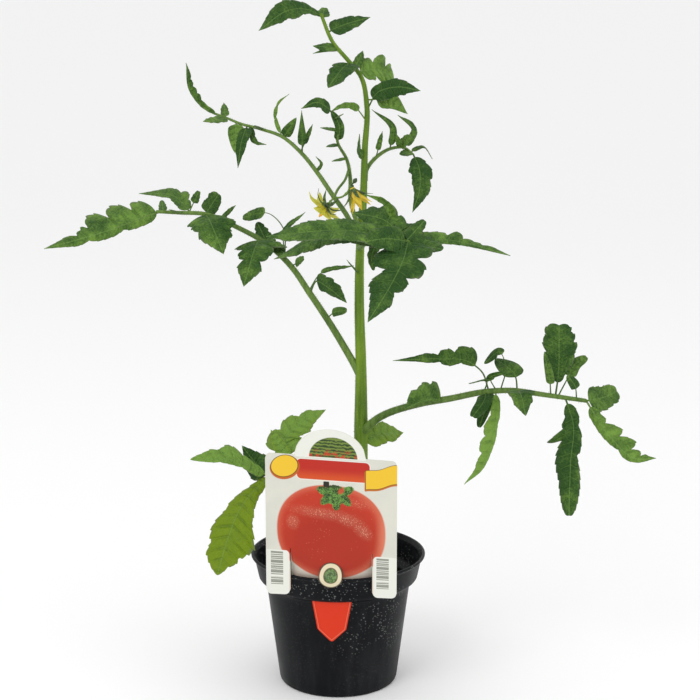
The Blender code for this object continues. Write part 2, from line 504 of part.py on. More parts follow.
def make_leaflet(name, path, width, face, material, rows=LEAF_ROWS, columns=LEAF_COLUMNS):
    """A thin blade along its midrib: ovate with a pointed tip, notched sides, folded up along the middle."""
    curve = smooth_curve(path, rows)
    _, facing, cross = frames_along(curve, face)
    run = np.linspace(0, 1, rows)
    blade = np.clip((run - LEAF_BARE_SHARE) / (1 - LEAF_BARE_SHARE), 0, 1)
    half = width / 2 * np.sin(np.pi * blade**0.62)**0.9
    half = half * (1 - LEAF_NOTCH * (np.arange(rows) % 3 == 2))
    half = np.maximum(half, LEAF_STALK_RADIUS)[:, None]
    sideways = np.linspace(-1, 1, columns + 1)[None, :]
    lift = half * (LEAF_FOLD * np.abs(sideways) - LEAF_CUP * sideways**2)
    surface = (curve[:, None] + (sideways * half)[..., None] * cross[:, None]
               + lift[..., None] * facing[:, None])
    thick = LEAF_THICKNESS / 2 * facing[:, None]
    return make_sheet(name, surface + thick, surface - thick, material)


def make_stalk(stalk, parent_curve, parent_radii, material):
    """A leaf's stalk, starting GAP clear of the stem that carries it."""
    points = start_clear_of(parent_curve, parent_radii, stalk.points, stalk.foot_radius)
    count = max(6, int(len(stalk.points) * 1.6))
    curve = smooth_curve(points, count)
    return make_tube(stalk.name, curve, taper(stalk, count), material)


def fine_line(stalk, parent=None):
    """A stalk's centre line and radii in fine steps, to seat leaflets on."""
    points = stalk.points
    if parent is not None:
        points = start_clear_of(parent[0], parent[1], stalk.points, stalk.foot_radius)
    curve = smooth_curve(points, 300)
    radii = stem_radii(curve) if stalk.parent is None else taper(stalk, 300)
    return curve, radii


def path_length(path):
    return float(np.sum(np.linalg.norm(np.diff(np.array(path, float), axis=0), axis=1)))


def make_leaves(stalk, holder, line, materials):
    """Seat a stalk's leaflets: large ones as pieces of their own, small ones grown onto the stalk."""
    number = 0
    for leaflet in [leaflet for leaflet in LEAFLETS if leaflet.stalk == stalk.name]:
        if path_length(leaflet.path) * leaflet.width > LARGE_LEAFLET:
            number += 1
            path = start_clear_of(line[0], line[1], leaflet.path, 0.5)
            make_leaflet(f"{stalk.name}_leaflet_{number}", path, leaflet.width, leaflet.face,
                         materials["leaf"])
        else:
            start = line[0][nearest_on(line[0], leaflet.path[0])]
            small = make_leaflet("small", [start] + leaflet.path[1:], leaflet.width, leaflet.face,
                                 materials["leaf"], rows=SMALL_LEAF_ROWS)
            combine(holder, small, "UNION")


# ---- flowers -----------------------------------------------------------------------------------

def make_star(name, centre, axis, length, opening, narrowness, material):
    """A closed star of petals around an axis: each petal leaves at the opening angle and curves back."""
    axis = unit(np.array(axis, float))
    side = unit(np.cross(axis, (0.2, 0.9, 0.4)))
    other = np.cross(axis, side)
    steps = PETALS * 4
    angles = np.linspace(0, 2 * math.pi, steps, endpoint=False)
    wave = (0.5 + 0.5 * np.cos(PETALS * angles))**narrowness
    out = np.linspace(0, 1, PETAL_RINGS)
    shape = length * out[:, None] * (PETAL_WAIST + (1 - PETAL_WAIST) * wave[None, :])
    turn = math.radians(opening) * (0.75 + 0.35 * out[:, None]) + 0 * wave
    around = (np.cos(angles)[:, None] * side + np.sin(angles)[:, None] * other)[None]
    surface = (np.array(centre, float) + (FLOWER_HUB + shape * np.sin(turn))[..., None] * around
               + (shape * np.cos(turn))[..., None] * axis)
    layers = [surface + axis * PETAL_THICKNESS / 2, surface - axis * PETAL_THICKNESS / 2]
    points = np.concatenate([layer.reshape(-1, 3) for layer in layers])
    size = len(out) * steps
    quads = grid_faces(len(out), steps, closed=True)
    faces = quads + [tuple(size + corner for corner in quad) for quad in quads]
    for i in range(steps):
        j = (i + 1) % steps
        rim = (len(out) - 1) * steps
        faces.append((rim + i, rim + j, size + rim + j, size + rim + i))
    faces.append(tuple(range(steps)))
    faces.append(tuple(size + i for i in range(steps)))
    return make_object(name, points, faces, material)


def make_flower(name, pedicel, axis, length, opening, materials):
    """Calyx, corolla and stamen cone at the end of a pedicel."""
    axis = unit(np.array(axis, float))
    end = np.array(pedicel[-1], float)
    calyx_centre = end + axis * 1.1
    corolla_centre = end + axis * 2.0
    cone = [end + axis * 2.7, end + axis * 5.5, end + axis * (3.0 + length * 0.55)]
    make_star(f"{name}_calyx", calyx_centre, axis, length * 0.8, opening + 18, 3.0, materials["sepal"])
    make_star(f"{name}_corolla", corolla_centre, axis, length, opening, 1.6, materials["petal"])
    make_tube(f"{name}_stamens", smooth_curve(cone, len(STAMEN_RADII)), np.array(STAMEN_RADII),
              materials["stamen"])


def make_truss(parent_line, materials):
    """The flower stalk with its pedicels and a bud, in one piece."""
    points = start_clear_of(parent_line[0], parent_line[1], TRUSS.points, TRUSS.foot_radius)
    truss = make_tube("truss", smooth_curve(points, 8), np.full(8, TRUSS.foot_radius), materials["stem"])
    for _, pedicel, _, _, _ in FLOWERS:
        branch = make_tube("branch", smooth_curve(pedicel, 6), np.full(6, PEDICEL_RADIUS), materials["stem"])
        combine(truss, branch, "UNION")
    bud = make_tube("bud", smooth_curve(BUD_PATH, len(BUD_RADII)), np.array(BUD_RADII), materials["stem"])
    combine(truss, bud, "UNION")
    return truss


# ---- the whole plant ---------------------------------------------------------------------------

def make_materials():
    return {
        "pot": make_material("pot_plastic", (0.016, 0.018, 0.021), 0.42),
        "soil": make_material("potting_mix", (0.045, 0.028, 0.018), 0.95),
        "tag": make_material("label_card", (0.72, 0.71, 0.62), 0.45),
        "stem": make_material("stem_green", (0.14, 0.25, 0.03), 0.55),
        "leaf": make_material("leaf_green", (0.05, 0.16, 0.02), 0.55),
        "sepal": make_material("sepal_green", (0.05, 0.11, 0.02), 0.6),
        "petal": make_material("petal_yellow", (0.72, 0.58, 0.04), 0.55),
        "stamen": make_material("stamen_yellow", (0.80, 0.52, 0.03), 0.5),
    }


def main():
    for old in list(bpy.data.objects):
        bpy.data.objects.remove(old)
    materials = make_materials()
    make_pot(materials["pot"])
    make_soil(materials["soil"])
    make_tag(materials["tag"])

    curve = smooth_curve(MAIN_STEM.points, 32)
    stem = make_tube("main_stem", curve, stem_radii(curve), materials["stem"], sides=10)
    lines = {"main_stem": fine_line(MAIN_STEM)}
    make_leaves(MAIN_STEM, stem, lines["main_stem"], materials)
    for stalk in STALKS:
        parent = lines[stalk.parent]
        lines[stalk.name] = fine_line(stalk, parent)
        holder = make_stalk(stalk, parent[0], parent[1], materials["stem"])
        make_leaves(stalk, holder, lines[stalk.name], materials)

    make_truss(lines[TRUSS.parent], materials)
    for name, pedicel, axis, length, opening in FLOWERS:
        make_flower(name, pedicel, axis, length, opening, materials)


main()
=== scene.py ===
"""Young tomato plant in a nursery pot, with a plant label pushed in at the front.

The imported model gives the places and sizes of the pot, the soil and the label. The growth plan below
gives the line of every stalk and leaflet, in millimetres; lengths become metres when a mesh is made.
"""

import json
import math
from collections import namedtuple

import bpy
import numpy as np
from bpy.props import FloatProperty, FloatVectorProperty, IntProperty, PointerProperty
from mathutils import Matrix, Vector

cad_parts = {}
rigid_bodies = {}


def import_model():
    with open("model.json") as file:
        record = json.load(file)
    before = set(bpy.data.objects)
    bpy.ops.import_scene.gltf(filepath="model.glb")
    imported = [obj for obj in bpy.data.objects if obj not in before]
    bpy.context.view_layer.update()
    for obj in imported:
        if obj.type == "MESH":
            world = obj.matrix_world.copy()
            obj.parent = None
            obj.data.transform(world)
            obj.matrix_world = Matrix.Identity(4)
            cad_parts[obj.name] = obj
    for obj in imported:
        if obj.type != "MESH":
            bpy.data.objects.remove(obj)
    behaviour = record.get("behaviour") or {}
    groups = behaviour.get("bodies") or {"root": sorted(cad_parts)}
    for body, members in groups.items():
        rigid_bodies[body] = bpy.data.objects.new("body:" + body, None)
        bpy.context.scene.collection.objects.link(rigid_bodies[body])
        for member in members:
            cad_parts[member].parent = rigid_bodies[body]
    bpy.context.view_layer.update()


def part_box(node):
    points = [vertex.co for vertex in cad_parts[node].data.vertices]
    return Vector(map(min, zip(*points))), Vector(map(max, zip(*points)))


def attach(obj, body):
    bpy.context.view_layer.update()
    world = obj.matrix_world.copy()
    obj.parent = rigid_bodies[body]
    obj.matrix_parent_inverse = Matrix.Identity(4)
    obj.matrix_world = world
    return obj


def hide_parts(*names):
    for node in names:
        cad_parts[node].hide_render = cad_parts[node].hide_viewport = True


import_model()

bl_info = {
    "name": "Potted tomato plant",
    "version": (1, 0, 0),
    "blender": (4, 5, 0),
    "location": "View3D > Sidebar > Tomato plant",
    "description": "Builds a young tomato plant with its nursery pot and label",
    "category": "Add Mesh",
}

MM = 0.001
TAU = 2 * math.pi
STEM_UP = (0.31, 0.62, 0.72)    # starts the turn round a tube; along no stem
SHARP_EDGE = math.radians(42)
LIP_HEIGHT = 76.0
NO_TINT = (0.5, 0.0, 0.0)


def box_mm(node):
    """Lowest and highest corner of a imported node, in millimetres."""
    low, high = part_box(node)
    return np.array(low) / MM, np.array(high) / MM


# ---- growth plan -------------------------------------------------------------------------------
# A stalk runs through its points, from the line of its parent to its tip.
# Leaflets are listed by stalk. Each runs from the stalk to its own tip; face is the way its upper side
# looks there. own leaflets are pieces of their own, the others grow on their stalk's piece.

Stalk = namedtuple("Stalk", "name parent foot_radius tip_radius points")
Leaflet = namedtuple("Leaflet", "own path width face look")

# The outline and the form of a leaflet. left and right list the lobes of each half, seen from above with
# the tip away: the share of the blade where a lobe starts and its reach, as a share of half the width.
# stalk is the share of the path that is bare, folds how far each half folds up, roll how far it bends back,
# depth how deep the clefts are, tip how blunt the end is, and shade and yellow its colour.
Look = namedtuple("Look", "left right stalk folds roll depth tip wave shade yellow",
                  defaults=(((0, 0.85), (0.3, 0.8), (0.6, 0.5)), ((0, 0.85), (0.35, 0.75), (0.6, 0.5)), 0.08,
                            (0.3, 0.3), 0.6, 0.16, 1.0, 0.10, 0.35, 0.1))


def plain(**changes):
    """The look of a small leaflet without lobes or teeth."""
    return Look(left=((0, 0.9),), right=((0, 0.9),), depth=0.0)._replace(**changes)


MAIN_STEM = Stalk("main_stem", None, 4.1, 0.9, [
    (13, 2, 44), (13, 2, 95), (13, 2, 150), (13, 1, 183), (12, 0, 223), (12.5, 0, 254), (14, 1, 276),
    (15, 1, 307), (16, 0, 331), (13, 0, 346), (5, 1, 356), (-2, 2, 364), (-9, 4, 380)])
STEM_HEIGHTS = (60, 150, 185, 250, 300, 340, 380)
STEM_RADII = (4.1, 3.9, 3.1, 2.4, 1.8, 1.3, 0.9)

STALKS = [
    Stalk("leaf_left", "main_stem", 2.3, 1.0, [
        (14, 1, 178), (-5, 4, 210), (-16, 8, 226), (-26, 12, 240), (-38, 16, 251), (-58, 20, 262),
        (-75, 20, 269), (-89, 18, 270), (-102, 15, 271)]),
    Stalk("leaf_right", "main_stem", 2.4, 1.2, [
        (13, 2, 146), (24, -5, 157), (45, -12, 166), (62, -16, 170), (83, -20, 175), (97, -22, 176),
        (114, -24, 174), (137, -26, 171)]),
    Stalk("leaf_front", "main_stem", 1.4, 1.0, [
        (12, 0, 252), (15, -16, 257), (22, -38, 262), (30, -60, 265), (36, -74, 266)]),
    Stalk("arch_left", "main_stem", 1.6, 0.6, [
        (12, 0, 256), (5, 8, 270), (-3, 12, 281), (-10, 16, 291), (-21, 22, 304), (-31, 26, 312),
        (-43, 30, 316), (-55, 32, 319), (-65, 33, 323), (-71, 34, 325)]),
    Stalk("arch_right", "main_stem", 1.3, 0.6, [
        (15, 1, 290), (16, 6, 295), (21, 12, 301), (30, 18, 306), (38, 22, 306), (43, 24, 302)]),
    Stalk("inner_shoot", "main_stem", 1.4, 0.5, [
        (13, 0, 262), (9, -5, 272), (7, -8, 281), (7, -12, 291), (5, -18, 303), (0, -22, 313),
        (0, -24, 322), (-3, -24, 329)]),
    Stalk("leaf_low", "main_stem", 1.9, 1.0, [
        (13, 2, 138), (-4, -8, 141), (-21, -14, 137), (-35, -20, 130), (-42, -24, 124)]),
]

LEAFLETS = {
    "leaf_left": [
        Leaflet(True, [(-101, 15, 270), (-130, 9, 260.5), (-163, 0, 252)], 30, (0.2, -0.6, 0.8),
            Look(left=((0, 0.3), (0.3, 0.28), (0.6, 0.24)), folds=(-0.6, 0.2), depth=0.42,
            right=((0, 1.0), (0.15, 1.25), (0.34, 1.2), (0.55, 0.45), (0.68, 0.3)), stalk=0.02, shade=0.45,
            yellow=0.2)),
        Leaflet(True, [(-83, 20, 271), (-95, 34, 278), (-115, 44, 278)], 16, (0, -0.7, 0.7),
            Look(right=((0, 0.5), (0.16, 1.0), (0.34, 0.7)), left=((0, 0.5), (0.4, 0.4)), depth=0.25,
            shade=0.4)),
        Leaflet(True, [(-75, 20, 269), (-71, 6, 266), (-63, -7, 250)], 27, (-0.1, -0.3, 1),
            Look(right=((0, 0.95), (0.2, 0.85), (0.36, 0.7)), left=((0, 0.75), (0.16, 1.1), (0.45, 0.6)),
            depth=0.14, folds=(0.15, 0.15), shade=0.32)),
        Leaflet(True, [(-44, 17, 256), (-46, 3, 252), (-52, -8, 232)], 27, (-0.1, -0.3, 1),
            Look(right=((0, 1.0), (0.24, 0.72), (0.5, 0.6)), left=((0, 1.3), (0.22, 0.8), (0.5, 0.55)),
            depth=0.36, folds=(0.2, 0.1), shade=0.26)),
        Leaflet(True, [(-29, 12, 246), (-31, 16, 262), (-39, 22, 269), (-54, 28, 266)], 9, (0, -1, 0.3),
            Look(left=((0, 0.9),), right=((0, 0.9),), stalk=0.7, tip=1.8, shade=0.3)),
        Leaflet(True, [(-16, 8, 226), (-12, 4, 233), (-6, -2, 231), (5, -9, 223)], 14, (0.3, -0.5, 0.8),
            Look(left=((0, 0.8), (0.2, 0.95), (0.42, 0.8)), depth=0.12, stalk=0.3,
            right=((0, 0.7), (0.3, 0.55)), shade=0.2)),
        Leaflet(False, [(-75, 20, 269), (-68, 31, 279)], 11, (0.2, -0.9, 0.3),
            Look(left=((0, 0.9), (0.5, 0.9)), right=((0, 0.9),), tip=1.7, depth=0.15, shade=0.25)),
        Leaflet(False, [(-84, 19, 270), (-79, 28, 281)], 6, (0.2, -0.9, 0.3), Look(stalk=0.45, tip=2.0)),
        Leaflet(False, [(-98, 16, 271), (-100, 26, 276)], 6, (0, -0.8, 0.6), Look(tip=1.6)),
        Leaflet(False, [(-89, 18, 270), (-94, 7, 273)], 5, (0, -0.5, 0.9), Look()),
        Leaflet(False, [(-66, 20, 265), (-57, 10, 275)], 5, (0, -0.8, 0.6), Look(shade=0.2)),
        Leaflet(False, [(-43, 17, 253), (-30, 6, 249)], 12, (0, -0.7, 0.7), Look(tip=1.6)),
        Leaflet(False, [(-40, 16, 252), (-46, 29, 263)], 11, (-0.2, -0.8, 0.5), Look(tip=1.5, shade=0.2)),
        Leaflet(False, [(-30, 13, 244), (-30, 9, 260), (-18, 2, 272)], 4, (-0.6, -0.6, 0.2), Look(stalk=0.4,
            shade=0.2)),
        Leaflet(False, [(-26, 12, 240), (-19, 5, 246)], 7, (0, -0.8, 0.6), Look(stalk=0.35, tip=2.0)),
        Leaflet(False, [(-16, 8, 227), (-10, 12, 236), (9, 9, 241)], 4, (0, -0.4, 0.9), Look(stalk=0.4)),
        Leaflet(False, [(-6, 5, 212), (-3, 2, 215), (5, -5, 218)], 6, (0, -0.7, 0.7), plain(stalk=0.3,
            tip=1.9)),
    ],
    "leaf_right": [
        Leaflet(True, [(137, -26, 171), (149, -34, 153), (163, -42, 142), (173, -44, 143)], 24,
            (0.1, -0.9, 0.4), Look(left=((0, 0.3), (0.22, 0.72), (0.42, 0.85), (0.62, 0.5), (0.8, 0.25)),
            right=((0, 0.3), (0.55, 0.25)), depth=0.52, folds=(0.2, -0.4), shade=0.6, yellow=0.2)),
        Leaflet(True, [(84, -20, 176), (80, -14, 185), (73, -12, 190), (57, -9, 191), (31, -4, 189)], 15,
            (0, -1, 0.2), Look(right=((0, 1.15), (0.24, 0.8), (0.44, 0.4)),
            left=((0, 0.3), (0.16, 0.55), (0.42, 0.26)), depth=0.42, stalk=0.27, folds=(0.2, 0.2),
            shade=0.3)),
        Leaflet(True, [(58, -15, 169), (49, -23, 171), (37, -27, 167)], 24, (0.1, -0.95, 0.2),
            Look(right=((0, 0.85), (0.25, 0.85), (0.5, 0.62)), left=((0, 0.12),), depth=0.14, folds=(0, 0.35),
            shade=0.45)),
        Leaflet(True, [(99, -22, 176), (98.5, -20, 183), (88, -11, 191.5)], 15, (0.4, -0.9, 0.1),
            plain(tip=1.3, stalk=0.32, shade=0.3)),
        Leaflet(True, [(87, -21, 175), (87, -30, 165), (83, -37, 148), (78, -40, 136), (69, -42, 128)], 13,
            (0.35, -0.9, 0), Look(left=((0, 0.35), (0.3, 0.4)),
            right=((0, 0.5), (0.22, 1.0), (0.42, 0.95), (0.6, 0.7)), depth=0.3, folds=(0.5, 0.2), stalk=0.05,
            shade=1.05, yellow=0.25)),
        Leaflet(True, [(83, -20, 175), (80, -29, 171), (74, -34, 164)], 10, (-0.3, -0.8, 0.4), plain(tip=2.2,
            shade=0.1, stalk=0.15)),
        Leaflet(True, [(99, -22, 176), (100, -34, 176), (102, -40, 166)], 17, (0, -0.5, 0.9),
            Look(left=((0, 1.0), (0.4, 0.6)), right=((0, 0.9), (0.5, 0.5)), depth=0.06, tip=1.1, shade=0.3)),
        Leaflet(True, [(120, -24, 174), (121.5, -22, 182), (122.5, -14, 211)], 19.5, (0, -1, 0.1),
            Look(left=((0, 0.35), (0.2, 0.85), (0.45, 1.0), (0.7, 0.85)), depth=0.12, tip=1.7, stalk=0.2,
            right=((0, 0.35), (0.2, 0.9), (0.4, 1.1), (0.6, 0.95), (0.78, 0.7)), shade=0.25)),
        Leaflet(True, [(125, -25, 173), (129, -34, 160), (127, -42, 140), (126, -48, 112)], 20,
            (-0.3, -0.9, 0), Look(right=((0, 0.42), (0.18, 1.85), (0.3, 0.85)), depth=0.38,
            left=((0, 0.4), (0.2, 0.5), (0.45, 0.65)), tip=1.9, stalk=0.06, folds=(0.3, 0.1), shade=0.15)),
        Leaflet(True, [(138, -26, 171), (146, -20, 171), (156, -12, 173)], 17, (0, -0.9, 0.4),
            Look(left=((0, 0.9), (0.5, 0.7)), right=((0, 0.9), (0.6, 0.7)), tip=1.9, depth=0.1, shade=0.45)),
        Leaflet(False, [(81, -19, 175), (82, -24, 182), (72, -29, 181.5)], 5.5, (0, -0.8, 0.5),
            plain(stalk=0.4, tip=2.0)),
        Leaflet(False, [(87, -20, 176), (84, -25, 184), (91, -30, 188)], 5, (-0.3, -0.9, 0.2),
            plain(stalk=0.4, tip=2.0)),
        Leaflet(False, [(90, -21, 176), (93, -18, 189), (90, -15, 196), (81.5, -14, 189.5)], 7,
            (0.3, -0.9, 0.2), plain(stalk=0.62, tip=1.5, shade=0.2)),
        Leaflet(False, [(117, -24, 174), (116, -29, 184), (112.5, -31, 199)], 7, (-0.3, -0.9, 0.1),
            Look(right=((0, 0.8),), left=((0, 0.6),), tip=1.5, stalk=0.3, depth=0.0, shade=0.35)),
        Leaflet(False, [(122, -25, 174), (129, -16, 184), (132, -12, 188), (139, -9, 192)], 9.5,
            (-0.2, -0.9, 0.4), Look(left=((0, 0.8),), right=((0, 0.8),), tip=2.0, stalk=0.45, depth=0.0,
            shade=0.4)),
        Leaflet(False, [(132, -26, 172), (130, -30, 180), (125, -34, 187)], 7, (0.2, -0.9, 0.2),
            Look(left=((0, 0.8),), right=((0, 0.8),), depth=0.0, stalk=0.4, tip=1.7)),
        Leaflet(False, [(86, -22, 174), (82, -21, 165), (78.5, -22, 155)], 8, (-0.2, -0.9, 0.1),
            Look(left=((0, 0.7),), right=((0, 0.9),), depth=0.0, tip=2.0, shade=0.05)),
    ],
    "leaf_front": [
        Leaflet(True, [(36, -74, 267), (33, -86, 258), (26, -96, 246), (15, -102, 229.5)], 31,
            (-0.2, -0.3, 1), Look(right=((0, 1.1), (0.34, 0.85)), depth=0.48,
            left=((0, 1.0), (0.2, 0.9), (0.42, 0.52), (0.6, 0.42)), folds=(0.25, 0.25), stalk=0.02, wave=0.05,
            shade=0.15)),
        Leaflet(True, [(34, -69, 266), (5, -77, 272), (-36, -84, 270)], 22, (0, -0.5, 0.86),
            Look(left=((0, 0.9), (0.3, 0.85), (0.55, 0.7), (0.78, 0.4)), depth=0.1, stalk=0.03,
            right=((0, 0.8), (0.25, 0.9), (0.5, 0.8), (0.75, 0.4)), shade=0.35)),
        Leaflet(True, [(29, -58, 262), (0, -60, 268), (-33, -60, 255)], 23, (0.1, -0.5, 0.86),
            Look(left=((0, 0.8), (0.28, 0.8), (0.5, 0.65), (0.72, 0.4)), depth=0.12,
            right=((0, 0.8), (0.4, 0.6)), shade=0.25, stalk=0.03)),
        Leaflet(True, [(34, -68, 264), (26, -60, 274), (8, -50, 278)], 24, (0.2, -0.85, 0.4),
            Look(right=((0, 0.7), (0.3, 0.9), (0.55, 0.6)), left=((0, 0.6), (0.35, 0.6)), depth=0.22,
            shade=0.25, stalk=0.05)),
        Leaflet(True, [(35, -68, 265), (43, -59, 274)], 14, (0, -0.6, 0.8), Look(left=((0, 0.9), (0.4, 0.7)),
            right=((0, 0.8), (0.45, 0.6)), depth=0.34, tip=1.0, shade=0.25)),
        Leaflet(True, [(36, -68, 265), (53, -82, 263)], 17, (0, -0.6, 0.8), Look(left=((0, 0.9), (0.5, 0.6)),
            right=((0, 0.6), (0.4, 0.5)), depth=0.16, tip=1.4, shade=0.2)),
        Leaflet(True, [(33, -62, 264), (58, -70, 266), (88, -76, 259)], 13, (0, -0.35, 0.93),
            Look(left=((0, 0.9), (0.36, 1.0), (0.5, 0.7), (0.7, 0.5)), depth=0.4, right=((0, 0.6),),
            folds=(0.5, 0.1), wave=0.25, shade=0.4)),
        Leaflet(False, [(36, -74, 266), (25, -78, 268), (14, -82, 267)], 18, (0, -0.8, 0.6),
            Look(right=((0, 0.9), (0.45, 0.7)), left=((0, 0.9), (0.5, 0.5)), depth=0.1, tip=1.3, shade=0.2)),
        Leaflet(False, [(28, -56, 261), (29, -57, 276), (25, -59, 284), (14, -63, 289)], 6, (0, -1, 0.1),
            Look(folds=(0.8, 0.8), wave=0.3, shade=0.6)),
        Leaflet(False, [(38, -70, 267), (45, -60, 275)], 10, (0, -0.9, 0.3), Look(tip=1.8, depth=0.1,
            shade=0.2)),
        Leaflet(False, [(22, -36, 258), (18, -44, 252), (19, -47, 247)], 7, (0, -0.9, 0.2), Look(tip=1.6,
            shade=0.2)),
    ],
    "arch_left": [
        Leaflet(True, [(-51, 31, 318), (-54, 22, 309), (-56, 19, 295)], 10, (-0.3, -0.9, 0.3),
            Look(left=((0, 0.9), (0.4, 0.6)), right=((0, 0.7), (0.5, 0.5)), depth=0.06, shade=0.15)),
        Leaflet(True, [(-69, 34, 324), (-77, 34, 330), (-83, 33, 338), (-85, 30, 353)], 9, (-0.4, -0.7, 0.6),
            Look(left=((0, 0.5),), folds=(0.9, 0.6), stalk=0.03, depth=0.3,
            right=((0, 0.3), (0.3, 0.7), (0.42, 0.7), (0.56, 0.6), (0.7, 0.5)), shade=0.3)),
        Leaflet(False, [(-19, 21, 303), (-20, 20, 327)], 5.5, (0, -1, 0.1), plain(stalk=0.2)),
        Leaflet(False, [(-62, 33, 322), (-75, 18, 321)], 9, (0, -0.6, 0.8), Look(shade=0.5)),
        Leaflet(False, [(-57, 33, 320), (-58, 27, 303)], 10.5, (-0.3, -0.9, 0.2), plain(tip=1.2, shade=0.55)),
        Leaflet(False, [(-12, 16, 294), (-9, 14, 298), (-12, 12, 302)], 2.5, (0, -1, 0.1), Look()),
        Leaflet(False, [(-21, 22, 304), (-14, 26, 319)], 3.5, (0.2, -1, 0.1), Look(stalk=0.3)),
        Leaflet(False, [(-31, 26, 312), (-23, 21, 323)], 7, (0.2, -1, 0.1), plain(tip=1.2)),
        Leaflet(False, [(-32, 26, 312), (-35, 27, 324), (-33, 25, 331), (-27, 23, 336)], 3, (-0.3, -0.9, 0.1),
            Look(wave=0.4, depth=0.5, shade=0.8, yellow=0.4)),
        Leaflet(False, [(-43, 30, 316), (-46, 15, 319)], 6, (0, -0.3, 0.9), Look()),
        Leaflet(False, [(-50, 30, 317), (-46, 24, 309), (-40, 20, 308)], 5, (0.2, -0.9, 0.4),
            Look(shade=0.2)),
        Leaflet(False, [(-64, 33, 323), (-65, 43, 330)], 6, (0, -0.8, 0.6), Look()),
    ],
    "arch_right": [
        Leaflet(True, [(30, 18, 306), (31, 16, 317), (19, 12, 328)], 5.5, (0.5, -0.8, 0.2), plain()),
        Leaflet(True, [(38, 22, 306), (43, 26, 316), (34, 26, 324)], 5.5, (0.5, -0.8, 0.1),
            Look(left=((0, 0.9),), right=((0, 0.9), (0.5, 0.9)), depth=0.2)),
        Leaflet(True, [(43, 24, 302), (46, 16, 294), (46, 11, 284), (42, 10, 271)], 16, (0.1, -0.95, 0.2),
            Look(left=((0, 0.5), (0.14, 0.95), (0.4, 0.75)), depth=0.12, stalk=0.06,
            right=((0, 0.5), (0.12, 0.85), (0.3, 0.55)), shade=0.15)),
        Leaflet(False, [(22, 12, 301), (25, 11, 316)], 4, (-0.3, -1, 0), Look(stalk=0.3)),
        Leaflet(False, [(35, 21, 306), (41, 14, 314)], 8, (-0.3, -0.8, 0.4), Look(wave=0.4, shade=0.6)),
        Leaflet(False, [(36, 21, 306), (33, 14, 314)], 5, (-0.3, -0.8, 0.4), Look(wave=0.4, shade=0.6)),
        Leaflet(False, [(41, 24, 304), (49, 28, 306), (54, 31, 299)], 4, (0, -0.5, 0.86), Look()),
        Leaflet(False, [(41, 23, 304), (35, 12, 303)], 7, (0, -0.7, 0.6), Look(tip=1.4)),
    ],
    "inner_shoot": [
        Leaflet(False, [(-3, -24, 329), (-11, -30, 334), (-19, -34, 331)], 9, (0, -0.8, 0.6),
            Look(left=((0, 0.9), (0.3, 0.7)), right=((0, 0.9),), depth=0.2, shade=0.2)),
        Leaflet(False, [(2, -21, 313), (1, -24, 321), (-3, -25, 329)], 6, (0.3, -0.9, 0.2), plain(tip=1.8,
            shade=0.2)),
        Leaflet(False, [(1, -22, 312), (-6, -34, 311)], 4.5, (0, -0.6, 0.8), Look(shade=0.2)),
        Leaflet(False, [(0, -24, 326), (3, -32, 328)], 4, (0, -0.6, 0.8), Look(tip=1.8)),
        Leaflet(False, [(0, -24, 319), (-9, -34, 321)], 4, (0, -0.7, 0.7), Look()),
        Leaflet(False, [(5, -18, 304), (-3, -30, 303)], 3.5, (0, -0.6, 0.8), Look()),
    ],
    "leaf_low": [
        Leaflet(True, [(-38, -22, 126), (-58, -30, 138.5), (-81, -34, 140)], 21, (0.2, -0.7, 0.7),
            Look(right=((0, 0.3), (0.3, 0.95), (0.58, 0.5)), tip=1.3, left=((0, 0.4), (0.3, 0.3), (0.6, 0.2)),
            depth=0.2, shade=0.9)),
        Leaflet(True, [(-36, -20, 129), (-53, -36, 114), (-61, -44, 96), (-66, -50, 79)], 27,
            (-0.3, -0.75, 0.5), Look(right=((0, 0.3), (0.16, 0.55), (0.4, 0.88), (0.68, 0.76)), tip=1.2,
            left=((0, 0.25), (0.18, 0.55), (0.4, 1.25), (0.74, 0.5)), depth=0.16, wave=0.2, folds=(0.3, 0.2),
            shade=0.55, yellow=1.0)),
        Leaflet(True, [(-25, -16, 135), (-31, -4, 142), (-22, 4, 150), (-7, 7, 158)], 25, (0.1, -0.9, 0.4),
            Look(left=((0, 0.35), (0.12, 0.85), (0.36, 0.75), (0.62, 0.5)), right=((0, 0.9), (0.4, 0.7)),
            depth=0.34, shade=0.95, yellow=0.45)),
        Leaflet(True, [(-39, -20, 126), (-45, -15, 131), (-54, -12, 142)], 20, (0.1, -0.9, 0.3),
            Look(right=((0, 0.9),), left=((0, 0.8),), depth=0.05, tip=1.0, shade=0.12)),
        Leaflet(False, [(-32, -10, 138), (-38, -4, 149)], 11, (0, -0.8, 0.5), Look(shade=0.9, yellow=0.5)),
    ],
    "main_stem": [
        Leaflet(True, [(-9, 4, 379), (-16, 2, 382), (-25, -3, 382), (-42, -10, 371)], 18, (0, -0.7, 0.7),
            Look(right=((0, 0.3), (0.22, 0.95)), left=((0, 0.3), (0.24, 0.75), (0.5, 0.5)), depth=0.15,
            stalk=0.04, shade=0.2)),
        Leaflet(True, [(-5, 3, 370), (4, 7, 374), (18, 10, 378)], 13, (0, -0.8, 0.6),
            Look(left=((0, 0.85), (0.35, 0.8), (0.6, 0.45)), right=((0, 0.85), (0.5, 0.5)), depth=0.1,
            shade=0.15)),
        Leaflet(True, [(8, 0, 354), (3, -7, 351), (-5, -14, 341)], 19, (-0.3, -0.8, 0.5),
            Look(left=((0, 0.9), (0.5, 0.55)), right=((0, 0.8), (0.25, 0.75), (0.5, 0.55)), depth=0.12,
            tip=1.1, shade=0.15)),
        Leaflet(True, [(12, 0, 350), (20, 6, 350), (31, 13, 346)], 26, (-0.1, -0.9, 0.4),
            Look(left=((0, 0.6), (0.36, 0.9), (0.66, 0.75)), right=((0, 0.5), (0.3, 0.85), (0.62, 0.75)),
            depth=0.55, tip=1.1, shade=0.62)),
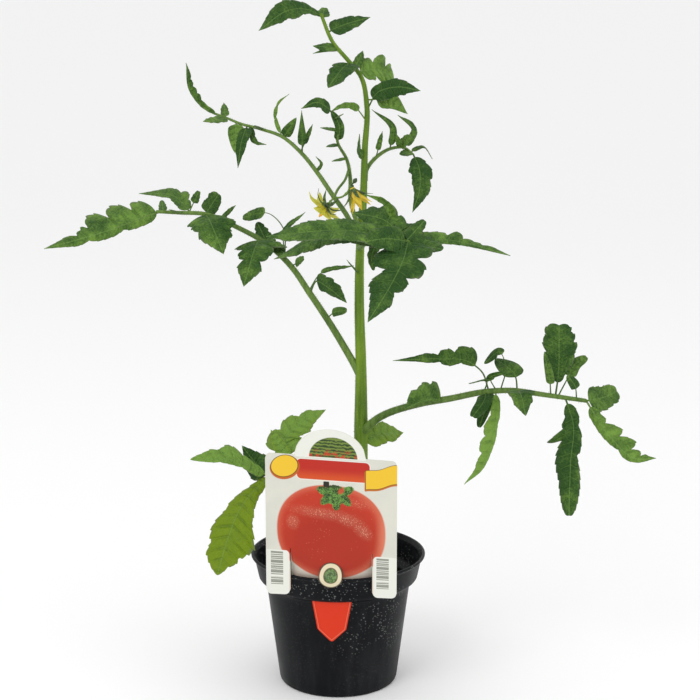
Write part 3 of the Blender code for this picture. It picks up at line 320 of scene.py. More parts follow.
        Leaflet(True, [(16, 0, 329), (22, -3, 338), (33, -5, 341), (45, -6, 339)], 14, (0, -0.8, 0.6),
            Look(left=((0, 0.6), (0.3, 0.8)), right=((0, 0.9), (0.5, 0.6)), depth=0.05, stalk=0.2,
            shade=0.1)),
        Leaflet(True, [(13, 2, 141), (24, 9, 143), (38, 20, 141)], 19, (0, -0.7, 0.7),
            Look(left=((0, 0.9), (0.35, 0.9), (0.65, 0.5)), right=((0, 0.8), (0.4, 0.7)), depth=0.14,
            shade=0.9, yellow=0.6)),
        Leaflet(False, [(20, -3, 334), (28, 1, 334), (38.5, 4, 326)], 13, (0, -0.9, 0.4), plain(stalk=0.22,
            tip=1.0, shade=0.6)),
        Leaflet(False, [(0, 2, 362), (-5, -5, 361), (-13, -11, 359)], 4.5, (0, -0.8, 0.6), plain(shade=0.3)),
        Leaflet(False, [(0, 2, 362), (-13, -10, 363)], 9, (0, -0.8, 0.6), Look(left=((0, 0.5), (0.4, 0.95)),
            right=((0, 0.8),), depth=0.5, shade=0.3)),
        Leaflet(False, [(10, 0, 351), (14, 8, 360)], 7, (-0.2, -0.8, 0.6), Look()),
        Leaflet(False, [(-9, 4, 377), (-7, 12, 383)], 9, (0, -0.9, 0.4), Look(tip=1.9)),
        Leaflet(False, [(15, 0, 322), (8, -6, 331), (2, -10, 331), (-4, -14, 328)], 5, (-0.3, -0.9, 0.4),
            Look(wave=0.4, stalk=0.3, shade=0.6)),
        Leaflet(False, [(15, 1, 303), (12, -5, 306), (12, -10, 316)], 6, (0, -0.9, 0.3), Look(wave=0.3)),
        Leaflet(False, [(12, 0, 238), (5, -16, 248)], 3, (0, -0.5, 0.86), Look()),
    ],
}

TRUSS = Stalk("truss", "inner_shoot", 0.7, 0.6, [(6, -15, 297), (4, -19, 292), (0, -22, 287),
                                                 (-2, -24, 283)])
Flower = namedtuple("Flower", "name pedicel axis length opening petal_width")
FLOWERS = [
    Flower("flower_open", [(-2, -24, 283), (-5, -27, 280)], (-0.5, 0.3, -0.75), 11.5, 84.0, 5.6),
    Flower("flower_hanging", [(-2, -24, 283), (2, -26, 283.5), (5.2, -27, 286), (7, -27, 290)],
           (0.44, -0.15, -0.88), 13.5, 26.0, 4.4),
]
BUD_PATH = [(7, -27, 290), (8.4, -29, 291.4), (10.2, -30.5, 294)]


# ---- curves ------------------------------------------------------------------------------------

def smooth_curve(points, count):
    """Even steps along a cubic that passes through every point."""
    points = np.array(points, float)
    run = steps_along(points)
    slopes = np.gradient(points, run, axis=0)
    pieces = []
    for i in range(len(points) - 1):
        span = run[i + 1] - run[i]
        t = np.linspace(0, 1, 24, endpoint=False)[:, None]
        pieces.append((2 * t**3 - 3 * t**2 + 1) * points[i] + (t**3 - 2 * t**2 + t) * span * slopes[i]
                      + (3 * t**2 - 2 * t**3) * points[i + 1] + (t**3 - t**2) * span * slopes[i + 1])
    fine = np.concatenate(pieces + [points[-1:]])
    along = steps_along(fine)
    steps = np.linspace(0, along[-1], count)
    return np.stack([np.interp(steps, along, fine[:, k]) for k in range(3)], axis=1)


def unit(vectors):
    """The vectors at length one."""
    return vectors / np.maximum(np.linalg.norm(vectors, axis=-1, keepdims=True), 1e-9)


def frames_along(curve, face):
    """Tangent, facing and cross directions along a curve; the facing is carried on without twisting."""
    tangents = unit(np.gradient(curve, axis=0))
    facing = np.array(face, float)
    facings = []
    for tangent in tangents:
        facing = unit(facing - tangent * np.dot(facing, tangent))
        facings.append(facing)
    facings = np.array(facings)
    return tangents, facings, np.cross(tangents, facings)


def steps_along(path):
    """Distance from the start of a path to each of its points."""
    return np.concatenate([[0.0], np.cumsum(np.linalg.norm(np.diff(path, axis=0), axis=1))])


def path_length(path):
    """Length of the straight stretches between a path's points."""
    return float(np.sum(np.linalg.norm(np.diff(np.array(path, float), axis=0), axis=1)))


def ease(x, low, high):
    """0 below low, 1 above high and a smooth step between."""
    t = np.clip((x - low) / (high - low), 0, 1)
    return t * t * (3 - 2 * t)


def waves(x, y, pitch, seed, count=7):
    """Gentle unevenness between about -1 and 1: a mean of sine waves that run in different directions."""
    draw = np.random.default_rng(seed)
    total = 0
    for way, phase, stretch in zip(draw.uniform(0, TAU, count), draw.uniform(0, TAU, count),
                                   draw.uniform(0.6, 1.8, count)):
        total = total + np.sin((x * math.cos(way) + y * math.sin(way)) * TAU * stretch / pitch + phase)
    return total / count * 1.8


# ---- meshes ------------------------------------------------------------------------------------

def grid_faces(rows, columns, closed=False):
    """Quads of a grid of points, row by row; a closed grid joins its last column to its first."""
    row = np.arange(rows - 1)[:, None] * columns
    column = np.arange(columns if closed else columns - 1)[None, :]
    following = (column + 1) % columns
    return np.stack([row + column, row + following, row + columns + following, row + columns + column],
                    axis=-1).reshape(-1, 4)


def polar(radius, turn, height):
    """Points at a radius, a turn about +Z and a height; the three are spread over one grid."""
    return np.stack(np.broadcast_arrays(radius * np.cos(turn), radius * np.sin(turn), height), axis=-1)


def around(sides):
    """Even turns round a circle."""
    return np.linspace(0, TAU, sides, endpoint=False)


class Shape:
    """The surfaces of one piece: points, faces, and two values of three numbers at every point.

    pattern follows the surface, for the material: on a leaf the side vein number, the distance from the
    midrib in mm and its share of the half width; on a tube the distance along it, the turn round it and
    its radius. tint holds the shade and the yellowness.
    """

    def __init__(self):
        self.points = []
        self.quads = []
        self.caps = []
        self.quad_slots = []
        self.cap_slots = []
        self.pattern = []
        self.tint = []
        self.size = 0

    def add(self, points, quads, slots, caps=(), pattern=None, tint=NO_TINT):
        """Add points with their quads and end caps; slots is one number, or one for every quad."""
        points = points.reshape(-1, 3)
        count = len(points)
        self.points.append(points)
        self.quads.append(quads + self.size)
        self.quad_slots.append(np.broadcast_to(slots, len(quads)))
        self.caps += [[self.size + int(corner) for corner in cap] for cap in caps]
        self.cap_slots += [np.min(slots)] * len(caps)
        self.pattern.append(np.zeros((count, 3)) if pattern is None else pattern.reshape(-1, 3))
        self.tint.append(np.broadcast_to(np.array(tint, float), (count, 3)))
        self.size += count

    def add_rings(self, rings, slot, pattern=None, tint=NO_TINT):
        """A closed skin through rings of points, with a cap on its first and last ring."""
        rows, sides = rings.shape[:2]
        last = (rows - 1) * sides
        self.add(rings, grid_faces(rows, sides, closed=True), slot,
                 [range(sides)[::-1], range(last, last + sides)], pattern, tint)

    def add_sheet(self, grid, thickness, slots, pattern, tint=NO_TINT, cells=None):
        """A closed thin sheet: the grid moved half its thickness along its normal, both ways.

        cells says which quads of the grid are there; slots are for the front, and for the back and edge.
        """
        normals = unit(np.cross(np.gradient(grid, axis=1), np.gradient(grid, axis=0)))
        size = grid.shape[0] * grid.shape[1]
        top = grid_faces(*grid.shape[:2])
        if cells is not None:
            top = top[cells.reshape(-1)]
        edges = np.concatenate([top[:, [0, 1]], top[:, [1, 2]], top[:, [2, 3]], top[:, [3, 0]]])
        forward = edges[:, 0] * size + edges[:, 1]
        backward = edges[:, 1] * size + edges[:, 0]
        rim = edges[~np.isin(backward, forward)]
        sides = np.stack([rim[:, 1], rim[:, 0], rim[:, 0] + size, rim[:, 1] + size], axis=-1)
        half = normals * thickness / 2
        slot_of = np.repeat([slots[0], slots[1]], [len(top), len(top) + len(sides)])
        self.add(np.stack([grid + half, grid - half]), np.concatenate([top, top[:, ::-1] + size, sides]),
                 slot_of, pattern=np.stack([pattern, pattern]), tint=tint)

    def add_tube(self, curve, radii, sides, slot, groove=0.0, ridges=0.0, tint=NO_TINT, up=STEM_UP):
        """A tube with closed ends: radius times one plus ridges round it, less a groove along its top."""
        _, upward, side = frames_along(curve, up)
        turn = around(sides)
        shape = (1 + ridges * np.cos(5 * turn) + ridges * 0.6 * np.cos(3 * turn + 1)
                 - groove * np.exp(-(np.minimum(turn, TAU - turn) / 0.6)**2))
        ways = (np.cos(turn)[None, :, None] * upward[:, None] + np.sin(turn)[None, :, None] * side[:, None])
        pattern = np.stack(np.broadcast_arrays(steps_along(curve)[:, None], turn, radii[:, None]), axis=-1)
        self.add_rings(curve[:, None] + (radii[:, None] * shape)[..., None] * ways, slot, pattern, tint)

    def add_turned(self, profile, sides, centre=(0.0, 0.0), wobble=0.0):
        """A solid of revolution about +Z, out of round by the wobble at the pot's lip."""
        turn = around(sides)
        heights = profile[:, 1][:, None]
        radius = profile[:, 0][:, None] + wobble * np.cos(2 * turn + 0.7) * heights / LIP_HEIGHT
        self.add_rings(polar(radius, turn, heights) + np.array([*centre, 0.0]), 0)

    def add_spikes(self, feet, ways, lengths, width, slot, tint=NO_TINT):
        """Fine closed spikes with three sides: hairs."""
        side = unit(np.cross(ways, np.array([0.3, 0.5, 0.81])))
        other = np.cross(ways, side)
        corners = [feet + width * (math.cos(turn) * side + math.sin(turn) * other) for turn in around(3)]
        points = np.stack(corners + [feet + ways * lengths[:, None]], axis=1)
        start = np.arange(len(feet))[:, None] * 4
        # each side of a spike is written as a quad with its last point twice, and becomes a triangle
        corners = ((0, 1, 3, 3), (1, 2, 3, 3), (2, 0, 3, 3), (2, 1, 0, 0))
        self.add(points, np.concatenate([start + np.array(corner) for corner in corners]), slot, tint=tint)

    def mesh(self, name):
        """The mesh of all that was added, in metres, shaded smooth but for its sharp edges."""
        mesh = bpy.data.meshes.new(name)
        quads = np.concatenate(self.quads).tolist()
        faces = [quad[:3] if quad[2] == quad[3] else quad for quad in quads] + self.caps
        mesh.from_pydata((np.concatenate(self.points) * MM).tolist(), [], faces)
        slots = np.concatenate([np.concatenate(self.quad_slots), np.array(self.cap_slots, int)])
        mesh.polygons.foreach_set("material_index", slots.astype(np.int32))
        for label, values in (("pattern", self.pattern), ("tint", self.tint)):
            layer = mesh.attributes.new(label, "FLOAT_VECTOR", "POINT")
            layer.data.foreach_set("vector", np.concatenate(values).astype(np.float32).ravel())
        mesh.shade_smooth()
        mesh.set_sharp_from_angle(angle=SHARP_EDGE)
        mesh.validate()
        return mesh


def link(name, mesh, materials):
    """An object at the origin, with its materials in the order of the mesh's slots."""
    for material in materials:
        mesh.materials.append(material)
    made = bpy.data.objects.new(name, mesh)
    bpy.context.collection.objects.link(made)
    return made


def hand_over(piece, slot, *nodes):
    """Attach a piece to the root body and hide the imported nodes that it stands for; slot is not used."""
    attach(piece, "root")
    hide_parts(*nodes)


def cut(target, cutter):
    """Cut one closed object out of another and remove it."""
    modifier = target.modifiers.new("cut", "BOOLEAN")
    modifier.operation = "DIFFERENCE"
    modifier.solver = "EXACT"
    modifier.object = cutter
    bpy.context.view_layer.update()
    mesh = bpy.data.meshes.new_from_object(target.evaluated_get(bpy.context.evaluated_depsgraph_get()))
    target.modifiers.clear()
    target.data = mesh
    bpy.data.objects.remove(cutter)


# ---- materials ---------------------------------------------------------------------------------

class Value:
    """A number, colour or vector in a material; its operators add Math nodes."""

    def __init__(self, paint, socket):
        self.paint = paint
        self.socket = socket

    def math(self, operation, *others):
        """A Math node that starts from this value."""
        return self.paint.math(operation, self, *others)

    def __add__(self, other):
        return self.math("ADD", other)

    def __sub__(self, other):
        return self.math("SUBTRACT", other)

    def __rsub__(self, other):
        return self.paint.math("SUBTRACT", other, self)

    def __mul__(self, other):
        return self.math("MULTIPLY", other)

    def __truediv__(self, other):
        return self.math("DIVIDE", other)

    def __rtruediv__(self, other):
        return self.paint.math("DIVIDE", other, self)

    def __pow__(self, other):
        return self.math("POWER", other)

    def __rpow__(self, other):
        return self.paint.math("POWER", other, self)

    def __lt__(self, other):
        return self.math("LESS_THAN", other)

    def __gt__(self, other):
        return self.math("GREATER_THAN", other)

    def __abs__(self):
        return self.math("ABSOLUTE")

    __radd__ = __add__
    __rmul__ = __mul__


class Paint:
    """A material in the making."""

    def __init__(self, name):
        self.material = bpy.data.materials.new(name)
        self.material.use_nodes = True
        self.tree = self.material.node_tree
        self.shader = self.tree.nodes["Principled BSDF"]

    def feed(self, socket, value):
        """Link a value to a socket, or set the socket to a number, a vector or a colour."""
        if isinstance(value, Value):
            self.tree.links.new(value.socket, socket)
        elif socket.type == "RGBA":
            socket.default_value = (*value[:3], 1.0)
        else:
            socket.default_value = value

    def node(self, kind, settings=None, inputs=None, output=0):
        """Add a node: its settings first, then its inputs by name or number."""
        made = self.tree.nodes.new(kind)
        for key, value in (settings or {}).items():
            setattr(made, key, value)
        for key, value in (inputs or {}).items():
            self.feed(made.inputs[key], value)
        return Value(self, made.outputs[output])

    def finish(self, **inputs):
        """Connect the shader's sockets; underscores stand for the blanks in their names."""
        for key, value in inputs.items():
            self.feed(self.shader.inputs[key.replace("_", " ")], value)
        return self.material

    def math(self, operation, *values):
        """A Math node on two or three values."""
        return self.node("ShaderNodeMath", {"operation": operation}, dict(enumerate(values)))

    def place(self):
        """The place of a point, in metres."""
        return self.node("ShaderNodeTexCoord", output="Object")

    def split(self, vector):
        """The three numbers of a vector."""
        return [self.node("ShaderNodeSeparateXYZ", inputs={0: vector}, output=k) for k in range(3)]

    def parts(self, name):
        """The three numbers of a value stored on the mesh's points."""
        return self.split(self.node("ShaderNodeAttribute", {"attribute_name": name}, output="Vector"))

    def noise(self, scale, detail=3.0, stretch=(1.0, 1.0, 1.0), rough=0.5):
        """Cloudy unevenness from 0 to 1 on Object coordinates; scale is in cells per metre."""
        mapped = self.node("ShaderNodeMapping", inputs={"Vector": self.place(), "Scale": stretch})
        return self.node("ShaderNodeTexNoise", inputs={"Vector": mapped, "Scale": scale,
                                                       "Detail": detail, "Roughness": rough})

    def cells(self, scale, feature="DISTANCE_TO_EDGE"):
        """Distance to the nearest cell wall, or from the nearest cell's centre, on Object coordinates."""
        return self.node("ShaderNodeTexVoronoi", {"feature": feature},
                         {"Vector": self.place(), "Scale": scale})

    def step(self, value, low, high, start=0.0, end=1.0):
        """A smooth step from start, below low, to end, above high."""
        return self.node("ShaderNodeMapRange", {"interpolation_type": "SMOOTHSTEP"},
                         {0: value, 1: low, 2: high, 3: start, 4: end})

    def fade(self, value, low, high):
        """A smooth step from 1, below low, to 0, above high."""
        return self.step(value, low, high, 1.0, 0.0)

    def largest(self, *values):
        """The largest of several values."""
        most = values[0]
        for value in values[1:]:
            most = self.math("MAXIMUM", most, value)
        return most

    def mix(self, factor, below, above):
        """A colour from below, where the factor is 0, to above, where it is 1."""
        return self.node("ShaderNodeMix", {"data_type": "RGBA"}, {0: factor, 6: below, 7: above}, 2)

    def layers(self, colour, *layers):
        """Colours laid over another one after the other, each a pair of a mask and a colour."""
        for mask, above in layers:
            colour = self.mix(mask, colour, above)
        return colour

    def bump(self, height, distance, strength=1.0):
        """The normal of a surface raised by height, which is 1 at distance metres."""
        return self.node("ShaderNodeBump", inputs={"Height": height, "Distance": distance,
                                                   "Strength": strength})


def rgb(red, green, blue):
    """A colour given in display values from 0 to 255, as linear light."""
    shares = np.array([red, green, blue]) / 255
    return tuple(float(c) for c in np.where(shares <= 0.04045, shares / 12.92,
                                            ((shares + 0.055) / 1.055)**2.4))


def leaf_material(name, dark, light, leaf, upper):
    """Leaf skin: clouded green, painted shade in the vein furrows, paler veins from the surface's own
    pattern, a fine net between them.
    """
    paint = Paint(name)
    number, from_midrib, share = paint.parts("pattern")
    shade, yellow, _ = paint.parts("tint")
    cloud = paint.noise(120.0, 4.0)
    fine = paint.noise(900.0, 3.0)
    net = paint.cells(620.0)
    to_vein = abs(number.math("FRACT") - 0.5)
    # painted shade: the blade is darkened towards the dark green in the furrows beside the side veins, more
    # on the upper side
    furrow_shade = paint.fade(to_vein, 0.04, 0.3) * paint.fade(share, 0.4, 0.9) * paint.step(cloud, 0.42, 0.62)
    side_vein = paint.fade(to_vein, 0.01, 0.06) * paint.fade(share, 0.4, 1.0)
    midrib = paint.fade(from_midrib, 0.14, 0.42)
    worn = paint.step(share, 0.86, 1.0) * paint.step(cloud, 0.42, 0.6) * leaf.edge_ageing
    colour = paint.layers(
        paint.mix(paint.step(shade + (cloud - 0.5) * 1.3 + (fine - 0.5) * 0.8, 0.0, 1.0), dark, light),
        (paint.step(yellow + (cloud - 0.5) * 0.9 + share * 0.25, 0.35, 1.2), leaf.old),
        (furrow_shade * (0.34 if upper else 0.15), dark),
        (side_vein * (0.22 if upper else 0.6), leaf.vein),
        (midrib * (0.42 if upper else 0.8), leaf.vein),
        (paint.fade(net, 0.0, 0.10) * (0.10 if upper else 0.25), leaf.vein),
        (worn, leaf.edge_colour))
    height = paint.step(to_vein, 0.0, 0.16) * 0.5 + paint.step(net, 0.0, 0.3) * 0.35 + fine * 0.2
    if not upper:
        height = 1.0 - height
    return paint.finish(Base_Color=colour, Roughness=paint.step(fine, 0.2, 0.9, 0.46, 0.62),
                        Normal=paint.bump(height, 0.0006), Specular_IOR_Level=0.2)


def stem_material(name, settings, green, light):
    """Stem skin: long streaks, lighter patches and a paler down."""
    paint = Paint(name)
    shade = paint.parts("tint")[0]
    streak = paint.noise(500.0, 3.0, (1.0, 1.0, 0.06))
    cloud = paint.noise(45.0, 3.0)
    fine = paint.noise(1500.0, 2.0)
    colour = paint.mix(paint.step(streak * 0.6 + cloud * 0.6 + (shade - 0.5), 0.35, 0.9), green, light)
    colour = paint.mix(paint.step(fine, 0.55, 0.8) * 0.3, colour, settings.bloom)
    height = streak * 0.6 + fine * 0.4
    return paint.finish(Base_Color=colour, Roughness=paint.step(cloud, 0.3, 0.7, 0.45, 0.6),
                        Normal=paint.bump(height, 0.0004, 0.6), Specular_IOR_Level=0.2)


# ---- settings ----------------------------------------------------------------------------------

def colour_property(name, description, default):
    """A colour setting."""
    return FloatVectorProperty(name=name, description=description, subtype="COLOR", size=3, min=0.0,
                               max=1.0, default=default)


def length_property(name, description, default):
    """A length setting, in metres."""
    return FloatProperty(name=name, description=description, default=default, min=0.0, unit="LENGTH")


class PotSettings(bpy.types.PropertyGroup):
    """Sizes and colours of the pot."""
    plastic: colour_property("Plastic", "Colour of the pot's plastic", rgb(8, 10, 14))
    dust: colour_property("Dust", "Colour of the dust and dried water on it", rgb(150, 152, 150))
    wall: length_property("Wall", "Thickness of the wall", 0.0010)
    wobble: length_property("Wobble", "How far the lip is out of round", 0.0003)


class SoilSettings(bpy.types.PropertyGroup):
    """Sizes and colours of the potting mix."""
    dark: colour_property("Dark", "Colour of the damp mix", rgb(44, 33, 26))
    light: colour_property("Light", "Colour of dry crumbs", rgb(96, 76, 58))
    crumb: length_property("Crumb", "Size of the largest crumbs", 0.0022)
    crumbs: IntProperty(name="Crumbs", description="Number of loose crumbs", default=900, min=0)


class LabelSettings(bpy.types.PropertyGroup):
    """Sizes and colours of the plant label."""
    thickness: length_property("Thickness", "Thickness of the sheet", 0.0005)
    card: colour_property("Card", "Colour behind the print", rgb(208, 207, 195))
    white: colour_property("White", "Colour of the unprinted sheet", rgb(220, 221, 212))
    red: colour_property("Red", "Colour of the tongue", rgb(206, 45, 4))
    yellow: colour_property("Yellow", "Colour of the two blank badges", rgb(226, 184, 44))
    fruit: colour_property("Fruit", "Deepest colour of the printed tomato", rgb(158, 34, 14))


class LeafSettings(bpy.types.PropertyGroup):
    """Sizes and colours of the leaves."""
    thickness: length_property("Thickness", "Thickness of a blade", 0.00035)
    dark: colour_property("Dark", "Colour of the darkest upper sides", rgb(30, 67, 15))
    light: colour_property("Light", "Colour of the lightest upper sides", rgb(110, 146, 58))
    under_dark: colour_property("Dark underside", "Colour of the darkest undersides", rgb(62, 94, 40))
    under_light: colour_property("Light underside", "Colour of the lightest undersides",
                                 rgb(120, 150, 74))
    old: colour_property("Old", "Colour that ageing leaves turn to", rgb(106, 130, 6))
    vein: colour_property("Vein", "Colour of the veins", rgb(112, 146, 72))
    edge_colour: colour_property("Edge", "Colour of worn edges and tips", rgb(92, 96, 82))
    edge_ageing: FloatProperty(name="Edge ageing", description="How strongly edges and tips are worn",
                               default=0.6, min=0.0, max=1.0, subtype="FACTOR")


class StemSettings(bpy.types.PropertyGroup):
    """Sizes and colours of the stems."""
    green: colour_property("Green", "Colour of the main stem", rgb(72, 104, 22))
    light: colour_property("Light", "Colour of its lighter streaks", rgb(116, 146, 40))
    stalk_green: colour_property("Stalk", "Colour of the leaf stalks", rgb(64, 92, 34))
    stalk_light: colour_property("Light stalk", "Colour of their lighter streaks", rgb(112, 140, 66))
    bloom: colour_property("Bloom", "Colour of the fine down", rgb(176, 192, 140))
    hair: length_property("Hair", "Length of the hairs", 0.0011)
    hairs: IntProperty(name="Hairs", description="Number of hairs on the main stem", default=2600, min=0)


class FlowerSettings(bpy.types.PropertyGroup):
    """Colours of the flowers."""
    petal_tip: colour_property("Petal tip", "Colour of the petals at the tip", rgb(206, 208, 78))
    petal_root: colour_property("Petal root", "Colour of the petals at the root", rgb(196, 186, 28))
    anther: colour_property("Anther", "Colour of the cone of anthers", rgb(232, 170, 22))
    sepal: colour_property("Sepal", "Colour of the sepals", rgb(34, 54, 22))


class StudioSettings(bpy.types.PropertyGroup):
    """Floor, light and camera."""
    floor: colour_property("Floor", "Colour of the floor", (0.93, 0.93, 0.93))
    sky: FloatProperty(name="Sky", description="Strength of the light from all round", default=0.95, min=0.0)
    key: FloatProperty(name="Key", description="Power of the main light", default=7.5, min=0.0,
                       unit="POWER")
    distance: length_property("Distance", "From the pot's axis to the camera", 0.89319)
    height: length_property("Height", "Height of the camera", 0.37841)
    pitch: FloatProperty(name="Pitch", description="How far the camera looks down", default=0.20319,
                         subtype="ANGLE")
    turn: FloatProperty(name="Turn", description="How far the camera is turned to the right",
                        default=0.0077, subtype="ANGLE")
    lens: FloatProperty(name="Lens", description="Focal length on a 36 mm sensor", default=83.22,
                        unit="CAMERA")


# ---- pot, soil and label -----------------------------------------------------------------------

POT_SIDES = 144
POT_FLOOR = 1.6
FOOT_ROUND = 1.2
LIP_ROUND = 0.9
DRAIN_HOLES = 6
DRAIN_RADIUS = 3.0
DRAIN_CIRCLE = 25.0
DRAIN_TURN = 0.53       # turn of the first hole from +X, as a share of the step between holes


def pot_sizes():
    """Heights and outer radii of the pot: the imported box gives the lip, the rest is set off from it."""
    low, high = box_mm("pot")
    lip = (high[0] - low[0]) / 2
    return {"height": high[2], "lip": lip, "band_top": lip - 1.4, "band_foot": lip - 4.4,
            "band_foot_height": high[2] - 14.2, "body_top": lip - 8.6, "body_top_height": high[2] - 17.2,
            "base": lip - 16.0}


def pot_radius(sizes, height):
    """Radius of the pot's outside at a height."""
    return np.interp(height, [0, sizes["body_top_height"], sizes["band_foot_height"], sizes["height"]],
                     [sizes["base"], sizes["body_top"], sizes["band_foot"], sizes["band_top"]])


def pot_profile(sizes, wall):
    """Outline of the pot's wall: up the outside, over the lip and down the inside to the floor."""
    top, base, ledge, band = (sizes[key] for key in ("height", "base", "body_top_height", "band_foot_height"))
    heights = np.concatenate([np.linspace(POT_FLOOR, ledge - 0.6, 22),
                              np.linspace(ledge + 0.3, band - 0.3, 5),
                              np.linspace(band + 0.5, top - 2.6, 12)])
    outside = np.stack([pot_radius(sizes, heights), heights], axis=-1)
    turn = np.linspace(0, math.pi / 2, 5)
    foot = np.stack([base - FOOT_ROUND * (1 - np.sin(turn)), FOOT_ROUND * (1 - np.cos(turn))], axis=-1)
    over = np.linspace(-math.pi / 2, math.pi, 13)
    lip = np.stack([sizes["lip"] + LIP_ROUND * (np.cos(over) - 1), top + LIP_ROUND * (np.sin(over) - 1)],
                   axis=-1)
    inside = outside[::-1] + [-wall, 0.5 * wall]
    floor = [[base - wall, POT_FLOOR + 1.0], [base - wall - 1.0, POT_FLOOR], [0.5, POT_FLOOR]]
    return np.concatenate([[[0.5, 0.0]], foot, outside, lip, inside, floor])


def tongue_slot(sizes):
    """Cutter for the slot in the ledge that the label's tongue goes through."""
    edge = TONGUE_HALF + 1
    across, height = np.meshgrid(np.linspace(-edge, edge, 25), np.linspace(*TONGUE_SLOT_HEIGHTS, 7))
    grid = label_point(across, label_depth(across, height, sizes), height)
    shape = Shape()
    shape.add_sheet(grid, TONGUE_SLOT, (0, 0), np.zeros_like(grid))
    return link("slot", shape.mesh("slot"), [])


def pot_material(settings):
    """Thin black plastic: faint draw marks, dust, and dried water spots, most of them on the band."""
    paint = Paint("pot_plastic")
    across, back, height = [part / MM for part in paint.split(paint.place())]
    streak = paint.noise(260.0, 4.0, (1.0, 1.0, 0.10))
    cloud = paint.noise(38.0, 4.0)
    fine = paint.noise(2600.0, 2.0)
    low = paint.fade(height, 4.0, 40.0)
    dusty = paint.step(streak * 0.5 + cloud * 0.6 + low * 0.1, 0.5, 0.9) * 0.035
    colour = paint.mix(dusty, settings.plastic, settings.dust)
    drops = paint.fade(paint.cells(340.0, "F1"), 0.13, 0.22)
    small = paint.fade(paint.cells(640.0, "F1"), 0.18, 0.28)
    patches = paint.step(paint.noise(55.0, 4.0), 0.4, 0.56)
    splash = (paint.fade(back, -8.0, 8.0) * paint.step(across, -6.0, 10.0)
              * paint.step(height, 20.0, 34.0) * 0.6)
    band = paint.step(height, 58.0, 63.0) * 0.55 + 0.06
    specks = paint.largest(drops * 0.8, small) * patches * paint.largest(band, splash)
    colour = paint.mix(specks * 0.6, colour, settings.dust)
    roughness = paint.step(cloud, 0.3, 0.7, 0.36, 0.5) + specks * 0.2
    bump = streak * 0.5 + fine * 0.15 + specks * 0.25
    return paint.finish(Base_Color=colour, Roughness=roughness,
                        Normal=paint.bump(bump, 0.00018, 0.6), Specular_IOR_Level=0.12)


class TOMATO_OT_pot(bpy.types.Operator):
    """Build the nursery pot"""
    bl_idname = "tomato.pot"
    bl_label = "Pot"

    def execute(self, context):
        settings = context.scene.tomato_pot
        sizes = pot_sizes()
        shape = Shape()
        shape.add_turned(pot_profile(sizes, settings.wall / MM), POT_SIDES, wobble=settings.wobble / MM)
        pot = link("pot_shell", shape.mesh("pot_shell"), [pot_material(settings)])
        for turn in around(DRAIN_HOLES) + TAU * DRAIN_TURN / DRAIN_HOLES:
            hole = Shape()
            hole.add_turned(np.array([[DRAIN_RADIUS, -1.0], [DRAIN_RADIUS, 4.0]]), 24,
                            (DRAIN_CIRCLE * math.cos(turn), DRAIN_CIRCLE * math.sin(turn)))
            cut(pot, link("hole", hole.mesh("hole"), []))
        cut(pot, tongue_slot(sizes))
        hand_over(pot, "pot", "pot")
        return {"FINISHED"}


def soil_material(settings):
    """Potting mix: dark damp grains with dry, paler crumbs."""
    paint = Paint("potting_mix")
    shade = paint.parts("tint")[0]
    grain = paint.noise(900.0, 6.0, rough=0.7)
    cloud = paint.noise(90.0, 3.0)
    dry = paint.step(grain * 0.7 + cloud * 0.4 + (shade - 0.5), 0.45, 0.85)
    colour = paint.mix(dry, settings.dark, settings.light)
    return paint.finish(Base_Color=colour, Roughness=paint.step(grain, 0.2, 0.8, 0.8, 0.95),
                        Normal=paint.bump(grain, 0.0008, 0.9), Specular_IOR_Level=0.3)


SOIL_CROWN = 2.4


class TOMATO_OT_soil(bpy.types.Operator):
    """Build the potting mix with its crumbs.

    The height over the ground is edge + crown * (1 - (radius / rim) ** 2) plus three sets of waves.
    """
    bl_idname = "tomato.soil"
    bl_label = "Soil"

    def execute(self, context):
        settings = context.scene.tomato_soil
        low, high = box_mm("soil")
        rim = (high[0] - low[0]) / 2 - 0.3
        edge_height = high[2] - 3.2
        turn = around(120)
        radius = np.linspace(0.4, rim, 52)[:, None]
        x, y = radius * np.cos(turn), radius * np.sin(turn)
        bulk = edge_height + SOIL_CROWN * (1 - (radius / rim)**2)
        rough = 0.5 * waves(x, y, 17, 3) + 0.35 * waves(x, y, 5.5, 4) + 0.22 * waves(x, y, 2.4, 5, 12)
        top = polar(radius, turn, np.minimum(bulk + rough, high[2] + 0.6))
        below = polar(np.array([[rim - 5.5], [rim - 0.4]]), turn,
                      np.array([[low[2] + 0.3], [edge_height - 3]]))
        shape = Shape()
        shape.add_rings(np.concatenate([below, top[::-1]]), 0, tint=(0.4, 0, 0))
        draw = np.random.default_rng(11)
        count = settings.crumbs
        spread = rim * np.sqrt(draw.uniform(0, 0.97, count))
        turn = draw.uniform(0, TAU, count)
        size = settings.crumb / MM * draw.uniform(0.15, 1.0, count)**2 + 0.2
        centre = polar(spread, turn, edge_height + SOIL_CROWN * (1 - (spread / rim)**2) + size * 0.1)
        self.add_crumbs(shape, centre, size, draw)
        soil = link("soil_surface", shape.mesh("soil_surface"), [soil_material(settings)])
        hand_over(soil, "soil", "soil")
        return {"FINISHED"}

    def add_crumbs(self, shape, centre, size, draw):
        """Each crumb is a ball of four rings of six points, its points moved in and out at random."""
        level = np.linspace(0.12, math.pi - 0.12, 4)[:, None]
        ball = polar(np.sin(level), around(6), -np.cos(level)).reshape(1, -1, 3)
        count = len(centre)
        squash = draw.uniform(0.55, 1.2, (count, 1, 3))
        lumps = draw.uniform(0.75, 1.25, (count, ball.shape[1], 1))
        points = centre[:, None] + ball * squash * lumps * size[:, None, None]
        quads = grid_faces(4, 6, closed=True)
        start = np.arange(count)[:, None, None] * ball.shape[1]
        faces = (quads[None] + start).reshape(-1, 4)
        caps = [[int(s) + k for k in way] for s in start[:, 0, 0]
                for way in (range(5, -1, -1), range(18, 24))]
        tint = np.repeat(draw.uniform(0.3, 0.95, count), ball.shape[1])
        tints = np.stack([tint, 0 * tint, 0 * tint], axis=-1)
        shape.add(points, faces, 0, caps, tint=tints)


